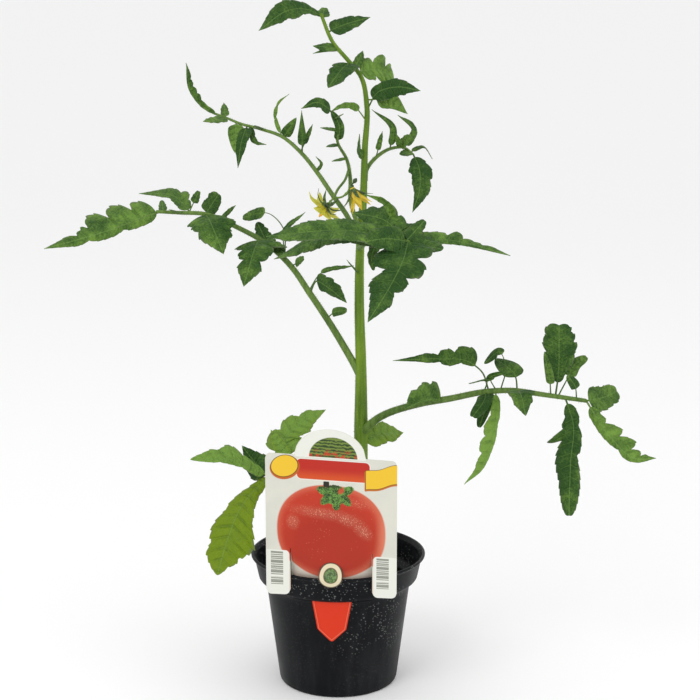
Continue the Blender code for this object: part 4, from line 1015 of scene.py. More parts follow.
# The label has its own frame: u runs across it to the right, h up, both in millimetres.
LABEL_TURN = math.radians(4.8)
LABEL_FALL = 0.05
LABEL_PLANE = 45.2
LABEL_HEAD = 144.5
LABEL_ARCH = (-0.5, 19.4, 15.2)     # middle, half width and rise
LABEL_CORNER = 3.0
LABEL_SLIT_TOP = 91.0
LABEL_PANEL_FOOT = 64.5
LABEL_LEG_FOOT = 65.0
LABEL_LEG_INNER = 22.8
LABEL_PANEL_HALF = 22.4
TONGUE_HALF = 11.0
TONGUE_EDGE = ((0, 1.0, 8.0, TONGUE_HALF), (37.5, 37.9, 44.5, 60.5))    # across and height
TONGUE_SLOT = 1.2
TONGUE_SLOT_HEIGHTS = (54.0, 66.0)
SEAL_HEIGHT = 77.9
SEAL_RADIUS = 6.6


def label_point(across, outward, height):
    """World place of a point of the label: across it, out from the pot's axis, and height.

    The first two are turned about +Z by the label's turn; the height stays as it is.
    """
    side = np.stack([np.cos(LABEL_TURN) * across, -np.sin(LABEL_TURN) * across], axis=-1)
    front = np.stack([-np.sin(LABEL_TURN) * outward, -np.cos(LABEL_TURN) * outward], axis=-1)
    return np.concatenate([side + front, (height + 0 * across)[..., None]], axis=-1)


def label_depth(across, height, sizes):
    """Distance of the sheet from the pot's axis: flat above, bent to pass inside the lip and out below."""
    bend = np.interp(height, [55.5, 63, sizes["height"]], [43.0, 43.3, 46.0])
    bent = np.sqrt(bend**2 - np.minimum(np.abs(across), bend * 0.9)**2)
    blend = ease(height, sizes["height"] + 1, LABEL_SLIT_TOP)
    inside = np.abs(across) < (LABEL_LEG_INNER + LABEL_PANEL_HALF) / 2
    return np.where(inside, bent + (LABEL_PLANE - bent) * blend, LABEL_PLANE)


def rounded(across, middle, half, radius):
    """How far a rounded corner lowers an edge: a quarter circle within radius of each side."""
    over = np.clip(np.abs(across - middle) - (half - radius), 0, radius)
    return radius - np.sqrt(np.maximum(radius**2 - over**2, 0))


def add_label_sheet(shape, sizes, thickness):
    """Panel with an arched head, a leg on each side outside the lip, and a pointed tongue.

    The head is as high as its edge plus rise * sqrt(1 - ((across - middle) / half width) ** 2) of an arch,
    less the round corners; the sheet falls to the right by a share of the distance across.
    """
    low, high = box_mm("tag")
    half = (high[0] - low[0]) / 2 / math.cos(LABEL_TURN)
    edges = np.unique(np.concatenate([
        np.linspace(0, TONGUE_HALF, 12), np.linspace(TONGUE_HALF, LABEL_PANEL_HALF, 11),
        [LABEL_PANEL_HALF, LABEL_LEG_INNER], np.linspace(LABEL_LEG_INNER, half, 22)]))
    columns = np.concatenate([-edges[:0:-1], edges])
    reach = np.abs(columns)
    leg_middle = (LABEL_LEG_INNER + half) / 2
    leg_half = (half - LABEL_LEG_INNER) / 2
    leg_foot = LABEL_LEG_FOOT + rounded(reach, leg_middle, leg_half, LABEL_CORNER)
    foot = np.where(reach >= LABEL_LEG_INNER - 0.01, leg_foot, LABEL_PANEL_FOOT)
    tongue_foot = np.interp(reach, *TONGUE_EDGE)
    middle, half_arch, rise = LABEL_ARCH
    arch = rise * np.sqrt(np.clip(1 - ((columns - middle) / half_arch)**2, 0, 1))
    head = LABEL_HEAD + arch - rounded(reach, 0, half, LABEL_CORNER)
    part = np.linspace(0, 1, 12, endpoint=False)[:, None]
    heights = np.concatenate([
        tongue_foot + (LABEL_PANEL_FOOT - tongue_foot) * part,
        foot + (LABEL_SLIT_TOP - foot) * part,
        LABEL_SLIT_TOP + (head - LABEL_SLIT_TOP) * np.linspace(0, 1, 21)[:, None]])
    across = columns + 0 * heights
    between = (reach[1:] + reach[:-1]) / 2
    cells = np.ones((len(heights) - 1, len(columns) - 1), bool)
    cells[:12] = between < TONGUE_HALF
    cells[12:24] = (between < LABEL_PANEL_HALF) | (between > LABEL_LEG_INNER)
    depth = label_depth(across, heights, sizes)
    lean = heights - LABEL_FALL * across * np.clip((heights - LABEL_PANEL_FOOT + 8) / 30, 0, 1)
    grid = label_point(across, depth, lean)
    pattern = np.stack([across, heights, 0 * across], axis=-1)
    shape.add_sheet(grid, thickness, (0, 1), pattern, cells=cells)


def add_label_seal(shape, sizes, thickness):
    """Round tab that folds over the front of the pot's lip: a disc whose lower part lies outside it."""
    turn = around(48)
    radius = np.linspace(0.15, SEAL_RADIUS, 14)[:, None]
    across = radius * np.cos(turn)
    height = SEAL_HEIGHT + radius * np.sin(turn)
    outside = np.interp(height, [SEAL_HEIGHT - SEAL_RADIUS, sizes["height"]],
                        [sizes["band_top"] + 0.9, sizes["lip"] + 0.7])
    outward = outside + (LABEL_PLANE + 0.6 - outside) * ease(height, sizes["height"] - 0.5, 84.2)
    grid = label_point(across, outward, height)
    half = label_point(np.zeros(1), np.ones(1), np.zeros(1))[0] * thickness / 2
    rows, sides = across.shape
    size = rows * sides
    top = grid_faces(rows, sides, closed=True)
    ring = np.arange(sides)
    outer, following = size - sides + ring, size - sides + (ring + 1) % sides
    edge = np.stack([size + outer, size + following, following, outer], axis=-1)
    slots = np.repeat([0, 1, 0], [len(top), len(top), len(edge)])
    pattern = np.stack([across, height, 0 * across], axis=-1)
    shape.add(np.stack([grid + half, grid - half]), np.concatenate([top, top[:, ::-1] + size, edge]), slots,
              [ring[::-1], size + ring], np.stack([pattern, pattern]))


class Print:
    """Flat shapes drawn on the label; each gives 1 inside and 0 outside, with a soft edge."""

    def __init__(self, paint):
        self.paint = paint
        self.u, self.h, _ = paint.parts("pattern")

    def inside(self, distance, soft=0.18):
        """1 where the distance past an edge is negative."""
        return self.paint.fade(distance, -soft, soft)

    def box(self, u, h, half_u, half_h, radius, grow=0.0):
        """A rectangle with round corners about the point u, h."""
        across = self.paint.largest(abs(self.u - u) - (half_u - radius), 0.0)
        up = self.paint.largest(abs(self.h - h) - (half_h - radius), 0.0)
        return self.inside((across * across + up * up) ** 0.5 - radius - grow)

    def oval(self, u, h, half_u, half_h, tilt=0.0, grow=0.0, soft=0.18, power=2.0):
        """An oval about the point u, h; a power over 2 makes it squarer."""
        du = self.u - u
        dh = self.h - h
        along = du * math.cos(tilt) + dh * math.sin(tilt)
        across = dh * math.cos(tilt) - du * math.sin(tilt)
        distance = (abs(along / half_u) ** power + abs(across / half_h) ** power) ** (1 / power)
        return self.inside((distance - 1.0) * min(half_u, half_h) - grow, soft)


# Places on the printed tomato: middle, half sizes, tilt and softness of each wet highlight, and middle
# and tilt of each lobe of the calyx.
HIGHLIGHTS = [(-4.0, 112.2, 12.5, 2.2, -0.1, 2.4), (9.0, 109.5, 8.0, 2.6, -0.35, 2.4),
              (17.5, 103.5, 4.6, 2.8, -0.7, 2.2), (-21.0, 106.5, 2.6, 3.2, 0.1, 2.2)]
CALYX_LOBES = [(-3.6, 125.0, -0.35), (-2.2, 120.8, 0.8), (3.0, 118.8, 1.5), (7.6, 121.0, -0.9),
               (8.2, 125.6, 0.5)]


def printed_tomato(paint, draw, card, settings, grain, cloud, fine):
    """A red fruit with a paler rim, wet highlights and a green calyx, on the card's colour."""
    beads = paint.fade(paint.cells(1250.0, "F1"), 0.22, 0.36)
    drops = paint.fade(paint.cells(640.0, "F1"), 0.10, 0.2)
    shine = paint.largest(*[draw.oval(*place, soft=soft) for *place, soft in HIGHLIGHTS],
                          draw.oval(15.0, 119.0, 5.5, 2.0, -0.2, soft=2.0) * 0.6)
    mottled = paint.step(fine * 0.7 + beads * 0.45, 0.42, 0.66)
    red = paint.layers(
        paint.mix(paint.step(draw.h, 78.0, 122.0), rgb(188, 58, 28), rgb(182, 50, 26)),
        (draw.oval(0.0, 94.0, 27.0, 21.0, soft=9.0) * 0.8, settings.fruit),
        ((1.0 - draw.oval(-1.0, 102.0, 28.0, 24.8, soft=3.2, power=2.3)) * 0.7, rgb(208, 118, 88)),
        (draw.oval(33.0, 100.0, 6.0, 16.0, soft=4.0) * 0.5, rgb(214, 132, 104)),
        (shine * (mottled * 0.7 + 0.16), rgb(224, 164, 134)),
        (shine * paint.fade(fine, 0.36, 0.5) * 0.4, rgb(132, 38, 22)),
        (drops * paint.step(cloud, 0.47, 0.56) * 0.4, rgb(220, 128, 96)))
    star = paint.largest(draw.oval(2.0, 123.2, 6.4, 5.6, soft=1.2),
                         *[draw.oval(u, h, 4.4, 2.3, tilt, soft=0.9) for u, h, tilt in CALYX_LOBES])
    star = paint.step(star + (fine - 0.5) * 0.9, 0.35, 0.55)
    green = paint.layers(
        paint.mix(paint.step(fine * 0.8 + grain * 0.5, 0.5, 0.8), rgb(24, 48, 18), rgb(104, 148, 66)),
        (draw.oval(5.5, 125.6, 2.0, 1.4, 0.9, soft=0.4) * 0.8, rgb(196, 70, 44)),
        (draw.oval(2.0, 128.2, 3.4, 1.2, soft=0.6) * 0.7, rgb(16, 26, 14)))
    return paint.layers(card, (draw.oval(0.0, 102.1, 29.8, 26.4, soft=0.45, power=2.25), red), (star, green),
                        (draw.box(-2.6, 128.9, 1.6, 1.6, 0.5), rgb(34, 32, 22)))


def printed_field(paint, u, h, grain, fine):
    """Rows of green crops with red fruit in the lower part."""
    rows = (h * 0.55 + grain * 1.5 + u * 0.02).math("FRACT")
    fruit = paint.step(grain + (fine - 0.5) * 0.5, 0.5, 0.58) * paint.fade(h, 145.0, 149.5)
    return paint.layers(rgb(40, 62, 26), (paint.step(rows, 0.3, 0.62), rgb(108, 128, 54)),
                        (fruit, rgb(188, 58, 30)))


def printed_badges(paint, draw, colour, settings):
    """A blank red band, a yellow oval at its left and a waving yellow flag at its right."""
    u, h = draw.u, draw.h
    colour = paint.layers(
        colour, (draw.box(1.2, 136.8, 19.9, 5.6, 2.4, 0.45), settings.white),
        (draw.box(1.2, 136.8, 19.9, 5.6, 2.4),
         paint.mix(paint.step(h, 131.5, 138.0), rgb(200, 76, 28), rgb(178, 36, 22))),
        (draw.oval(-25.3, 137.0, 7.9, 6.3, 0.35, 0.4), rgb(184, 92, 30)),
        (draw.oval(-25.5, 137.7, 7.4, 5.8, 0.35, 0.35), rgb(74, 46, 26)),
        (draw.oval(-25.5, 137.7, 7.4, 5.8, 0.35), settings.yellow))
    draw.h = h - (u - 28.0) * 0.26 - (u * 0.42).math("SINE") * 0.5
    colour = paint.layers(colour, (draw.box(27.9, 133.9, 9.2, 5.3, 0.3, 0.4), rgb(184, 104, 34)),
                          (draw.box(28.2, 134.6, 9.2, 5.2, 0.3, 0.3), rgb(92, 60, 32)),
                          (draw.box(28.2, 134.6, 9.2, 5.2, 0.3), settings.yellow))
    draw.h = h
    return colour


def printed_legs(paint, draw, colour, settings):
    """White legs, each with a panel of stripes of uneven width."""
    u, h = draw.u, draw.h
    draw.u = abs(u)
    leg = draw.box(30.3, 75.0, 7.1, 14.6, 2.2)
    draw.u = u
    bars = paint.largest((h * 0.93).math("FRACT") > 0.42, (h * 0.37 + 0.2).math("FRACT") > 0.74)
    gap = draw.inside(abs(h - 75.2) - 0.6, 0.1)
    panel = (paint.largest(draw.inside(abs(u - 28.3) - 3.4, 0.1), draw.inside(abs(u + 30.0) - 3.4, 0.1))
             * draw.inside(abs(h - 79.6) - 9.1, 0.1))
    return paint.layers(colour, (leg, settings.white),
                        (panel * (bars * (1.0 - gap)) * 0.8, rgb(104, 108, 94)))


def printed_seal(paint, draw, colour, grain, fine):
    """Rings round a green heart, on the round tab."""
    heart = paint.mix(paint.step(fine * 0.6 + grain * 0.5, 0.4, 0.7), rgb(40, 66, 34), rgb(112, 142, 84))
    rings = ((SEAL_RADIUS, rgb(74, 60, 46)), (6.1, rgb(214, 204, 172)), (4.0, rgb(92, 80, 54)), (3.5, heart))
    return paint.layers(colour, *[(draw.oval(0.0, SEAL_HEIGHT, radius, radius), ink)
                                  for radius, ink in rings])


def printed_tongue(paint, draw, colour, settings):
    """A red tongue with a thin pale line inside its edge."""
    u, h = draw.u, draw.h
    edge = paint.largest(abs(u) - (h - 60.5) * 0.1875 - TONGUE_HALF, (41.4 - h + abs(u) * 0.86) * 0.72 - 3.1)
    line = draw.inside(abs(edge + 0.9) - 0.12, 0.14) * paint.fade(h, 63.0, 63.4)
    return paint.layers(colour, (paint.fade(h, 63.4, 63.8), settings.red), (line * 0.6, rgb(226, 150, 116)))


def label_front_material(settings):
    """Printed front: a tomato on a plain card, blank badges, striped legs, a seal and a red tongue."""
    paint = Paint("label_print")
    draw = Print(paint)
    u, h = draw.u, draw.h
    grain = paint.noise(420.0)
    cloud = paint.noise(70.0)
    fine = paint.noise(1600.0)
    colour = paint.layers(
        settings.card, (paint.fade(h, 70.0, 86.0) * 0.7, rgb(202, 166, 148)),
        (paint.step(cloud, 0.35, 0.65) * 0.3, rgb(190, 192, 184)),
        (draw.oval(-0.4, 143.0, 19.4, 17.0) * paint.step(h, 143.4, 143.7), settings.white),
        (draw.oval(1.2, 143.8, 13.2, 11.6) * paint.step(h, 143.9, 144.1),
         printed_field(paint, u, h, grain, fine)))
    colour = printed_tomato(paint, draw, colour, settings, grain, cloud, fine)
    colour = printed_badges(paint, draw, colour, settings)
    colour = printed_legs(paint, draw, colour, settings)
    colour = printed_seal(paint, draw, colour, grain, fine)
    colour = printed_tongue(paint, draw, colour, settings)
    return paint.finish(Base_Color=colour, Roughness=paint.step(grain, 0.2, 0.8, 0.34, 0.42),
                        Normal=paint.bump(fine, 0.00006, 0.5), Specular_IOR_Level=0.3)


def label_back_material(settings):
    """Unprinted back: white sheet with slight clouding."""
    paint = Paint("label_back")
    cloud = paint.noise(60.0, 4.0)
    colour = paint.mix(paint.step(cloud, 0.3, 0.7), settings.white, settings.card)
    return paint.finish(Base_Color=colour, Roughness=paint.step(cloud, 0.3, 0.7, 0.42, 0.5),
                        Normal=paint.bump(paint.noise(1500.0), 0.00005, 0.5))


class TOMATO_OT_label(bpy.types.Operator):
    """Build the plant label"""
    bl_idname = "tomato.label"
    bl_label = "Label"

    def execute(self, context):
        settings = context.scene.tomato_label
        sizes = pot_sizes()
        shape = Shape()
        add_label_sheet(shape, sizes, settings.thickness / MM)
        add_label_seal(shape, sizes, settings.thickness / MM * 0.8)
        label = link("plant_label", shape.mesh("plant_label"),
                     [label_front_material(settings), label_back_material(settings)])
        hand_over(label, "tag", "tag")
        return {"FINISHED"}


# ---- stems and leaves --------------------------------------------------------------------------

SLOT_UPPER, SLOT_UNDER, SLOT_STEM = 0, 1, 2
HAIR_RADIUS = 0.06


def stalk_radii(stalk, curve):
    """Radii along a stalk: thickest at the foot, thinning quickly at first, with a swollen foot."""
    if stalk.parent is None:
        flare = 0.5 * np.exp(-((curve[:, 2] - 58) / 4)**2)
        return np.interp(curve[:, 2], STEM_HEIGHTS, STEM_RADII) + flare
    run = np.linspace(0, 1, len(curve))
    length = path_length(curve)
    swelling = 0.28 * stalk.foot_radius * np.exp(-(run * length / (2.2 * stalk.foot_radius + 2))**2)
    return stalk.tip_radius + (stalk.foot_radius - stalk.tip_radius) * (1 - run)**0.8 + swelling


def stalk_curve(stalk):
    """Points along a stalk, about 1.3 mm apart."""
    return smooth_curve(stalk.points, max(24, int(path_length(stalk.points) / 1.3)))


def lobe_numbers(blade, lobes):
    """Which lobe a place of the blade belongs to, counted from the base, with the share of it passed."""
    starts = [start for start, _ in lobes] + [1.0]
    return np.interp(blade, starts, range(len(starts)))


def reach_along(blade, lobes, look, teeth):
    """Reach of one half of a blade as a share of half the width.

    The reaches of the lobes are joined smoothly; clefts take depth off between two lobes and teeth a little
    everywhere; the base is a quarter circle; the end falls to nothing as (1 - t ** tip) ** (1 / tip).
    """
    number = lobe_numbers(blade, lobes)
    count = len(lobes)
    reach = np.interp(number, np.arange(count) + 0.5, [reach for _, reach in lobes])
    cleft = (1 - np.abs(np.sin(np.pi * number)))**1.8 * (number > 0.5) * (number < count - 0.5)
    saw = 0.09 * (1 - (blade * teeth) % 1) * (look.depth > 0)
    base = np.sqrt(1 - (1 - np.minimum(blade / 0.09, 1))**2)
    last = np.clip((number - count + 0.78) / 0.78, 0, 1)
    return reach * (1 - look.depth * cleft - saw) * base * (1 - last**look.tip)**(1 / look.tip)


def leaflets_of(stalk):
    """The leaflets of a stalk, each with its place in the growth plan, which seeds its random draws."""
    before = 0
    for name, leaflets in LEAFLETS.items():
        if name == stalk:
            return list(enumerate(leaflets, before))
        before += len(leaflets)
    return []


def add_leaflet(shape, leaflet, start, seed, thickness, fine):
    """A leaflet: its own thin stalk, a blade that folds and bends along its midrib, and a raised midrib.

    A point of the blade lies at midrib(run) plus its half width carried out along an arc of a circle,
    swept forward towards the tip, plus quilting between the side veins and a tilt for each lobe.
    """
    look = leaflet.look
    draw = np.random.default_rng(seed)
    path = [tuple(start)] + leaflet.path[1:]
    length = path_length(path)
    rows = int(np.clip(length * (3.0 if fine else 2.4), 34, 150))
    columns = 21 if fine else 13
    curve = smooth_curve(path, rows)
    tangent, facing, cross = frames_along(curve, leaflet.face)
    run = np.linspace(0, 1, rows)
    first = int(rows * look.stalk)
    blade = np.clip((run[first:] - run[first]) / (1 - run[first]), 0, 1)
    share = np.linspace(-1, 1, columns)[None, :]
    out = np.abs(share)
    left_side = share < 0
    teeth = max(3, round(length * (1 - look.stalk) / 4.5))
    veins = 3 + length * (1 - look.stalk) / 9
    halves, tilts = [], []
    for lobes in (look.left, look.right):
        halves.append(np.maximum(leaflet.width / 2 * reach_along(blade, lobes, look, teeth), 0.12))
        places = np.arange(len(lobes) + 2) - 0.5
        tilts.append(np.interp(lobe_numbers(blade, lobes), places, draw.uniform(-1, 1, len(places))))
    half = np.where(left_side, halves[0][:, None], halves[1][:, None])
    tilt = np.where(left_side, tilts[0][:, None], tilts[1][:, None])
    fold = np.where(left_side, look.folds[0], look.folds[1]) * (1 - 0.5 * blade[:, None])
    roll = look.roll * (1 - 0.3 * blade[:, None])
    sideways = half * (np.sin(fold) - np.sin(fold - roll * out)) / roll * np.sign(share)
    lift = half * (np.cos(fold - roll * out) - np.cos(fold)) / roll
    sweep = half * out * (0.10 + 0.50 * blade[:, None]**0.6)
    number = (veins * blade)[:, None]
    quilt = 0.2 * half * np.abs(np.cos(np.pi * number)) * out * (1 - out)
    lift = lift + quilt + look.wave * half * tilt * out**2
    grid = (curve[first:, None] + sideways[..., None] * cross[first:, None]
            + lift[..., None] * facing[first:, None] + sweep[..., None] * tangent[first:, None])
    pattern = np.stack(np.broadcast_arrays(number, half * out, out), axis=-1)
    tint = (look.shade, look.yellow, 0.0)
    shape.add_sheet(grid, thickness, (SLOT_UPPER, SLOT_UNDER), pattern, tint)
    rib = 0.30 + 0.010 * leaflet.width
    radii = rib * (1 - run)**0.7 + 0.06
    shape.add_tube(curve - facing * (0.6 * radii[:, None]), radii, 8, SLOT_STEM, tint=tint,
                   up=leaflet.face)


def leaf_materials(scene):
    """Skins of the upper side, the underside and the leaf stalks."""
    leaf, stem = scene.tomato_leaves, scene.tomato_stems
    return [leaf_material("leaf_upper", leaf.dark, leaf.light, leaf, True),
            leaf_material("leaf_under", leaf.under_dark, leaf.under_light, leaf, False),
            stem_material("leaf_stalk", stem, stem.stalk_green, stem.stalk_light)]


def add_hairs(shape, curve, radii, count, length, slot, seed):
    """Fine hairs that stand out from a stem at random places."""
    draw = np.random.default_rng(seed)
    index = draw.integers(1, len(curve) - 1, count)
    _, upward, side = frames_along(curve, STEM_UP)
    turn = draw.uniform(0, TAU, count)[:, None]
    ways = np.cos(turn) * upward[index] + np.sin(turn) * side[index]
    feet = curve[index] + ways * (radii[index] * 0.97)[:, None]
    ways = unit(ways + draw.uniform(-0.35, 0.35, (count, 3)))
    shape.add_spikes(feet, ways, length * draw.uniform(0.35, 1.0, count), HAIR_RADIUS, slot, (0.9, 0, 0))


class TOMATO_OT_foliage(bpy.types.Operator):
    """Grow the main stem, the leaf stalks and the leaflets"""
    bl_idname = "tomato.foliage"
    bl_label = "Stems and leaves"

    def execute(self, context):
        scene = context.scene
        upper, under, stalk_skin = leaf_materials(scene)
        stem_skin = stem_material("main_stem_skin", scene.tomato_stems, scene.tomato_stems.green,
                                  scene.tomato_stems.light)
        thickness = scene.tomato_leaves.thickness / MM
        hair = scene.tomato_stems.hair / MM
        for stalk in [MAIN_STEM] + STALKS:
            main = stalk.parent is None
            curve = stalk_curve(stalk)
            radii = stalk_radii(stalk, curve)
            shape = Shape()
            shape.add_tube(curve, radii, 22 if main else 14, SLOT_STEM, 0.0 if main else 0.16,
                           0.035 if main else 0.03, up=(0.2, -0.9, 0.3) if main else (0.1, 0.1, 1))
            hairs = scene.tomato_stems.hairs if main else int(path_length(curve) * 5)
            add_hairs(shape, curve, radii, hairs, hair, SLOT_STEM, 50 + len(stalk.points))
            number = 0
            for index, leaflet in leaflets_of(stalk.name):
                nearest = curve[np.argmin(np.linalg.norm(curve - leaflet.path[0], axis=1))]
                if leaflet.own:
                    number += 1
                    own = Shape()
                    add_leaflet(own, leaflet, nearest, index, thickness, True)
                    name = f"{stalk.name}_leaflet_{number}"
                    hand_over(link(f"{name}_blade", own.mesh(name), [upper, under, stalk_skin]),
                              "leaf", name)
                else:
                    add_leaflet(shape, leaflet, nearest, index, thickness, False)
            skin = stem_skin if main else stalk_skin
            piece = link(f"{stalk.name}_growth", shape.mesh(stalk.name), [upper, under, skin])
            hand_over(piece, "stem", stalk.name)
        return {"FINISHED"}


# ---- flowers -----------------------------------------------------------------------------------

def petal_material(settings):
    """Petal: pale at the tip, deeper at the root, with fine lengthwise veins."""
    paint = Paint("petal_yellow")
    number, from_midrib, share = paint.parts("pattern")
    shade, yellow, _ = paint.parts("tint")
    cloud = paint.noise(300.0, 3.0)
    vein = (from_midrib * 1.6).math("FRACT")
    root = paint.fade(number + (cloud - 0.5) * 0.8 + yellow, 0.2, 2.4)
    colour = paint.mix(root, settings.petal_tip, settings.petal_root)
    colour = paint.mix(paint.step(share, 0.7, 1.0) * 0.35, colour, rgb(196, 190, 90))
    colour = paint.mix(shade, colour, rgb(216, 176, 18))
    return paint.finish(Base_Color=colour, Roughness=paint.step(cloud, 0.3, 0.7, 0.45, 0.6),
                        Normal=paint.bump(vein, 0.0002, 0.5))


def anther_material(settings):
    """Anthers: clouded orange-yellow."""
    paint = Paint("anther_yellow")
    cloud = paint.noise(500.0, 3.0)
    colour = paint.mix(paint.step(cloud, 0.35, 0.7), settings.anther, settings.petal_root)
    return paint.finish(Base_Color=colour, Roughness=paint.step(cloud, 0.3, 0.7, 0.45, 0.6),
                        Normal=paint.bump(cloud, 0.0003, 0.6))


def sepal_material(settings):
    """Sepal: dark green with pale down."""
    paint = Paint("sepal_green")
    cloud = paint.noise(400.0, 3.0)
    fine = paint.noise(2500.0, 2.0)
    colour = paint.mix(paint.step(cloud, 0.3, 0.7), settings.sepal, rgb(86, 116, 50))
    colour = paint.mix(paint.step(fine, 0.6, 0.75) * 0.3, colour, rgb(160, 176, 120))
    return paint.finish(Base_Color=colour, Roughness=paint.step(fine, 0.3, 0.7, 0.5, 0.7),
                        Normal=paint.bump(fine, 0.0003, 0.6))


PETALS = 6
PETAL_ROWS = 26
PEDICEL_ROWS = 24
PEDICEL_RADIUS = 0.55
CALYX_RADII = np.array([0.6, 1.1, 1.4, 1.5, 1.5, 1.4, 1.1, 0.6])
NECK_RADII = np.array([0.5, 1.2, 1.4, 1.4, 1.2, 0.6])
CONE_RADII = ((0, 0.15, 0.55, 0.8, 1), (0.9, 1.5, 1.5, 0.9, 0.35))      # share of the length and radius
BUD_RADII = ((0, 0.5, 0.58, 0.75, 0.9, 1), (0.45, 0.45, 1.0, 1.3, 0.8, 0.3))


def add_petals(shape, centre, axis, length, opening, width, curl, tint, seed):
    """A whorl of petals: each leaves the axis at an angle and bends back along its length."""
    side = unit(np.cross(axis, (0.2, 0.9, 0.4)))
    other = np.cross(axis, side)
    draw = np.random.default_rng(seed)
    for index, turn in enumerate(around(PETALS)):
        turn = turn + draw.uniform(-0.12, 0.12)
        outward = math.cos(turn) * side + math.sin(turn) * other
        reach = length * draw.uniform(0.88, 1.08)
        lean = math.radians(opening) * draw.uniform(0.9, 1.1)
        path = [centre + outward * 0.5]
        for part in (0.33, 0.66, 1.0):
            angle = lean * (0.72 + curl * part)
            path.append(centre + outward * (0.6 + reach * part * math.sin(angle))
                        + axis * reach * part * math.cos(angle))
        add_petal(shape, path, width, axis * 0.8 + outward * 0.1, (*tint, 0), index + seed)


def add_petal(shape, path, width, face, tint, seed):
    """One petal: a narrow pointed blade, folded along its middle.

    The half width at run is width / 2 * sin(pi * (0.08 + 0.92 * run) ** 0.75) ** 0.9.
    """
    draw = np.random.default_rng(seed)
    curve = smooth_curve(path, PETAL_ROWS)
    _, facing, cross = frames_along(curve, face)
    run = np.linspace(0, 1, PETAL_ROWS)[:, None]
    share = np.linspace(-1, 1, 9)[None, :]
    half = np.maximum(width / 2 * np.sin(np.pi * (0.08 + 0.92 * run)**0.75)**0.9, 0.12)
    ripple = 0.12 * np.sin(run * 9 + draw.uniform(0, TAU)) * np.abs(share)**2
    lift = half * (0.45 * np.abs(share) - 0.25 * share**2 + ripple)
    grid = curve[:, None] + (half * share)[..., None] * cross[:, None] + lift[..., None] * facing[:, None]
    pattern = np.stack(np.broadcast_arrays(run * 3, half * np.abs(share), np.abs(share)), axis=-1)
    shape.add_sheet(grid, 0.18, (0, 0), pattern, tint)


def add_pedicel(truss, flower):
    """The thin stalk of a flower, with a knuckle on its way and a swollen end."""
    run = np.linspace(0, 1, PEDICEL_ROWS)
    knuckle = 0.35 * np.exp(-((run - 0.6) / 0.06)**2) + 0.5 * np.exp(-((run - 1) / 0.1)**2)
    truss.add_tube(smooth_curve(flower.pedicel, PEDICEL_ROWS), PEDICEL_RADIUS + knuckle, 10, 0)


def flower_parts(flower, index):
    """Calyx, corolla and cone of anthers of a flower, set along its axis from the end of its stalk."""
    axis = unit(np.array(flower.axis, float))
    end = np.array(flower.pedicel[-1], float)

    def along(count, *distances):
        return smooth_curve([end + axis * distance for distance in distances], count)

    calyx, corolla, cone = Shape(), Shape(), Shape()
    calyx.add_tube(along(8, 0.0, 0.9, 1.8), CALYX_RADII, 12, 0)
    add_petals(calyx, end + axis * 1.1, axis, flower.length * 0.9, flower.opening + 14, 2.0, 0.45,
               (0.5, 0), 31 + index)
    add_petals(corolla, end + axis * 1.9, axis, flower.length, flower.opening,
               flower.petal_width, 0.38, (0.1 + 0.6 * index, 0.2), 41 + index)
    corolla.add_tube(along(6, 1.2, 2.0, 2.8), NECK_RADII, 12, 0)
    middle = along(22, 2.2, 5.5, 3.0 + flower.length * 0.55)
    cone.add_tube(middle, np.interp(np.linspace(0, 1, 22), *CONE_RADII), 36, 0, ridges=0.09)
    return calyx, corolla, cone


class TOMATO_OT_flowers(bpy.types.Operator):
    """Grow the flower stalk, its two flowers and a bud"""
    bl_idname = "tomato.flowers"
    bl_label = "Flowers"

    def execute(self, context):
        settings = context.scene.tomato_flowers
        stems = context.scene.tomato_stems
        sepal = sepal_material(settings)
        kinds = (("calyx", sepal, "sepal"), ("corolla", petal_material(settings), "petal"),
                 ("stamens", anther_material(settings), "stamen"))
        truss = Shape()
        truss.add_tube(smooth_curve(TRUSS.points, PEDICEL_ROWS), np.full(PEDICEL_ROWS, TRUSS.foot_radius),
                       10, 0)
        for index, flower in enumerate(FLOWERS):
            add_pedicel(truss, flower)
            for shape, (name, skin, slot) in zip(flower_parts(flower, index), kinds):
                node = f"{flower.name}_{name}"
                hand_over(link(f"{node}_bloom", shape.mesh(node), [skin]), slot, node)
        truss.add_tube(smooth_curve(BUD_PATH, 26), np.interp(np.linspace(0, 1, 26), *BUD_RADII), 12, 1,
                       ridges=0.06)
        skin = stem_material("flower_stalk", stems, stems.stalk_green, stems.stalk_light)
        hand_over(link("truss_growth", truss.mesh("truss"), [skin, sepal]), "stem", "truss")
        return {"FINISHED"}


# ---- stage -------------------------------------------------------------------------------------

SENSOR_WIDTH = 36.0
LIT_POINT = np.array([0.0, 0.0, 0.2])


def add_light(name, size, power, place):
    """A round area light at a place, in metres, that points at the plant."""
    light = bpy.data.lights.new(name, "AREA")
    light.shape = "DISK"
    light.size = size
    light.energy = power
    holder = bpy.data.objects.new(name, light)
    bpy.context.collection.objects.link(holder)
    holder.location = place
    way = LIT_POINT - np.array(place)
    holder.rotation_euler = (math.acos(-way[2] / np.linalg.norm(way)), 0, math.atan2(-way[0], way[1]))


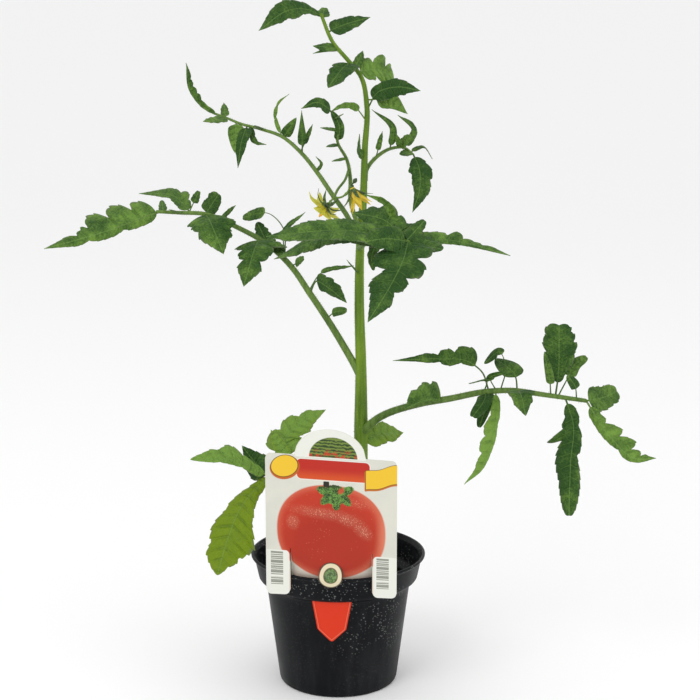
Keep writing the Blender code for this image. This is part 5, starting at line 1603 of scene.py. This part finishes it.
class TOMATO_OT_stage(bpy.types.Operator):
    """Set up the floor, the light and the camera.

    The floor is flat to 2.2 m out and then rises as 0.9 m * ((out - 2.2 m) / 3 m) ** 2.
    """
    bl_idname = "tomato.stage"
    bl_label = "Stage"

    def execute(self, context):
        scene = context.scene
        settings = scene.tomato_studio
        scene.view_settings.view_transform = "Standard"
        world = bpy.data.worlds.new("studio")
        world.use_nodes = True
        background = world.node_tree.nodes["Background"]
        background.inputs["Color"].default_value = (1.0, 1.0, 1.0, 1.0)
        background.inputs["Strength"].default_value = settings.sky
        scene.world = world
        floor = Shape()
        out = np.concatenate([np.linspace(0.5, 2200, 12), np.linspace(2400, 5200, 22)])
        rise = 900 * np.clip((out - 2200) / 3000, 0, 1)**2 - 0.2
        sides = 96
        floor.add(polar(out[:, None], around(sides), rise[:, None]), grid_faces(len(out), sides, closed=True),
                  0, [range(sides)[::-1]])
        paint = Paint("floor_paper")
        colour = paint.mix(paint.noise(3.0) * 0.1, settings.floor, (0.88, 0.88, 0.88))
        ground = link("floor", floor.mesh("floor"), [paint.finish(Base_Color=colour, Roughness=0.8)])
        add_light("key", 0.9, settings.key, (-0.7, -1.1, 1.3))
        add_light("fill", 1.2, settings.key * 0.4, (1.2, -0.8, 0.7))
        camera = bpy.data.cameras.new("camera")
        camera.lens = settings.lens
        camera.sensor_width = SENSOR_WIDTH
        holder = bpy.data.objects.new("camera", camera)
        bpy.context.collection.objects.link(holder)
        holder.location = (0, -settings.distance, settings.height)
        holder.rotation_euler = (math.pi / 2 - settings.pitch, 0, -settings.turn)
        scene.camera = holder
        return {"FINISHED"}


# ---- add-on ------------------------------------------------------------------------------------

class TOMATO_PT_panel(bpy.types.Panel):
    """Lists the steps in order"""
    bl_idname = "TOMATO_PT_panel"
    bl_label = "Tomato plant"
    bl_space_type = "VIEW_3D"
    bl_region_type = "UI"
    bl_category = "Tomato plant"

    def draw(self, context):
        for step in STEPS:
            self.layout.operator(step.bl_idname)


STEPS = (TOMATO_OT_stage, TOMATO_OT_pot, TOMATO_OT_soil, TOMATO_OT_label, TOMATO_OT_foliage,
         TOMATO_OT_flowers)
GROUPS = {"tomato_pot": PotSettings, "tomato_soil": SoilSettings, "tomato_label": LabelSettings,
          "tomato_leaves": LeafSettings, "tomato_stems": StemSettings, "tomato_flowers": FlowerSettings,
          "tomato_studio": StudioSettings}


def register():
    """Register the settings, the steps and the panel."""
    for group in GROUPS.values():
        bpy.utils.register_class(group)
    for made in STEPS + (TOMATO_PT_panel,):
        bpy.utils.register_class(made)
    for name, group in GROUPS.items():
        setattr(bpy.types.Scene, name, PointerProperty(type=group))


def unregister():
    """Undo register."""
    for name in GROUPS:
        delattr(bpy.types.Scene, name)
    for made in (TOMATO_PT_panel,) + STEPS[::-1]:
        bpy.utils.unregister_class(made)
    for group in GROUPS.values():
        bpy.utils.unregister_class(group)


def main():
    """Build the scene step by step."""
    register()
    bpy.ops.tomato.stage()
    bpy.ops.tomato.pot()
    bpy.ops.tomato.soil()
    bpy.ops.tomato.label()
    bpy.ops.tomato.foliage()
    bpy.ops.tomato.flowers()
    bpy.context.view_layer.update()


if __name__ == "__main__":
    main()
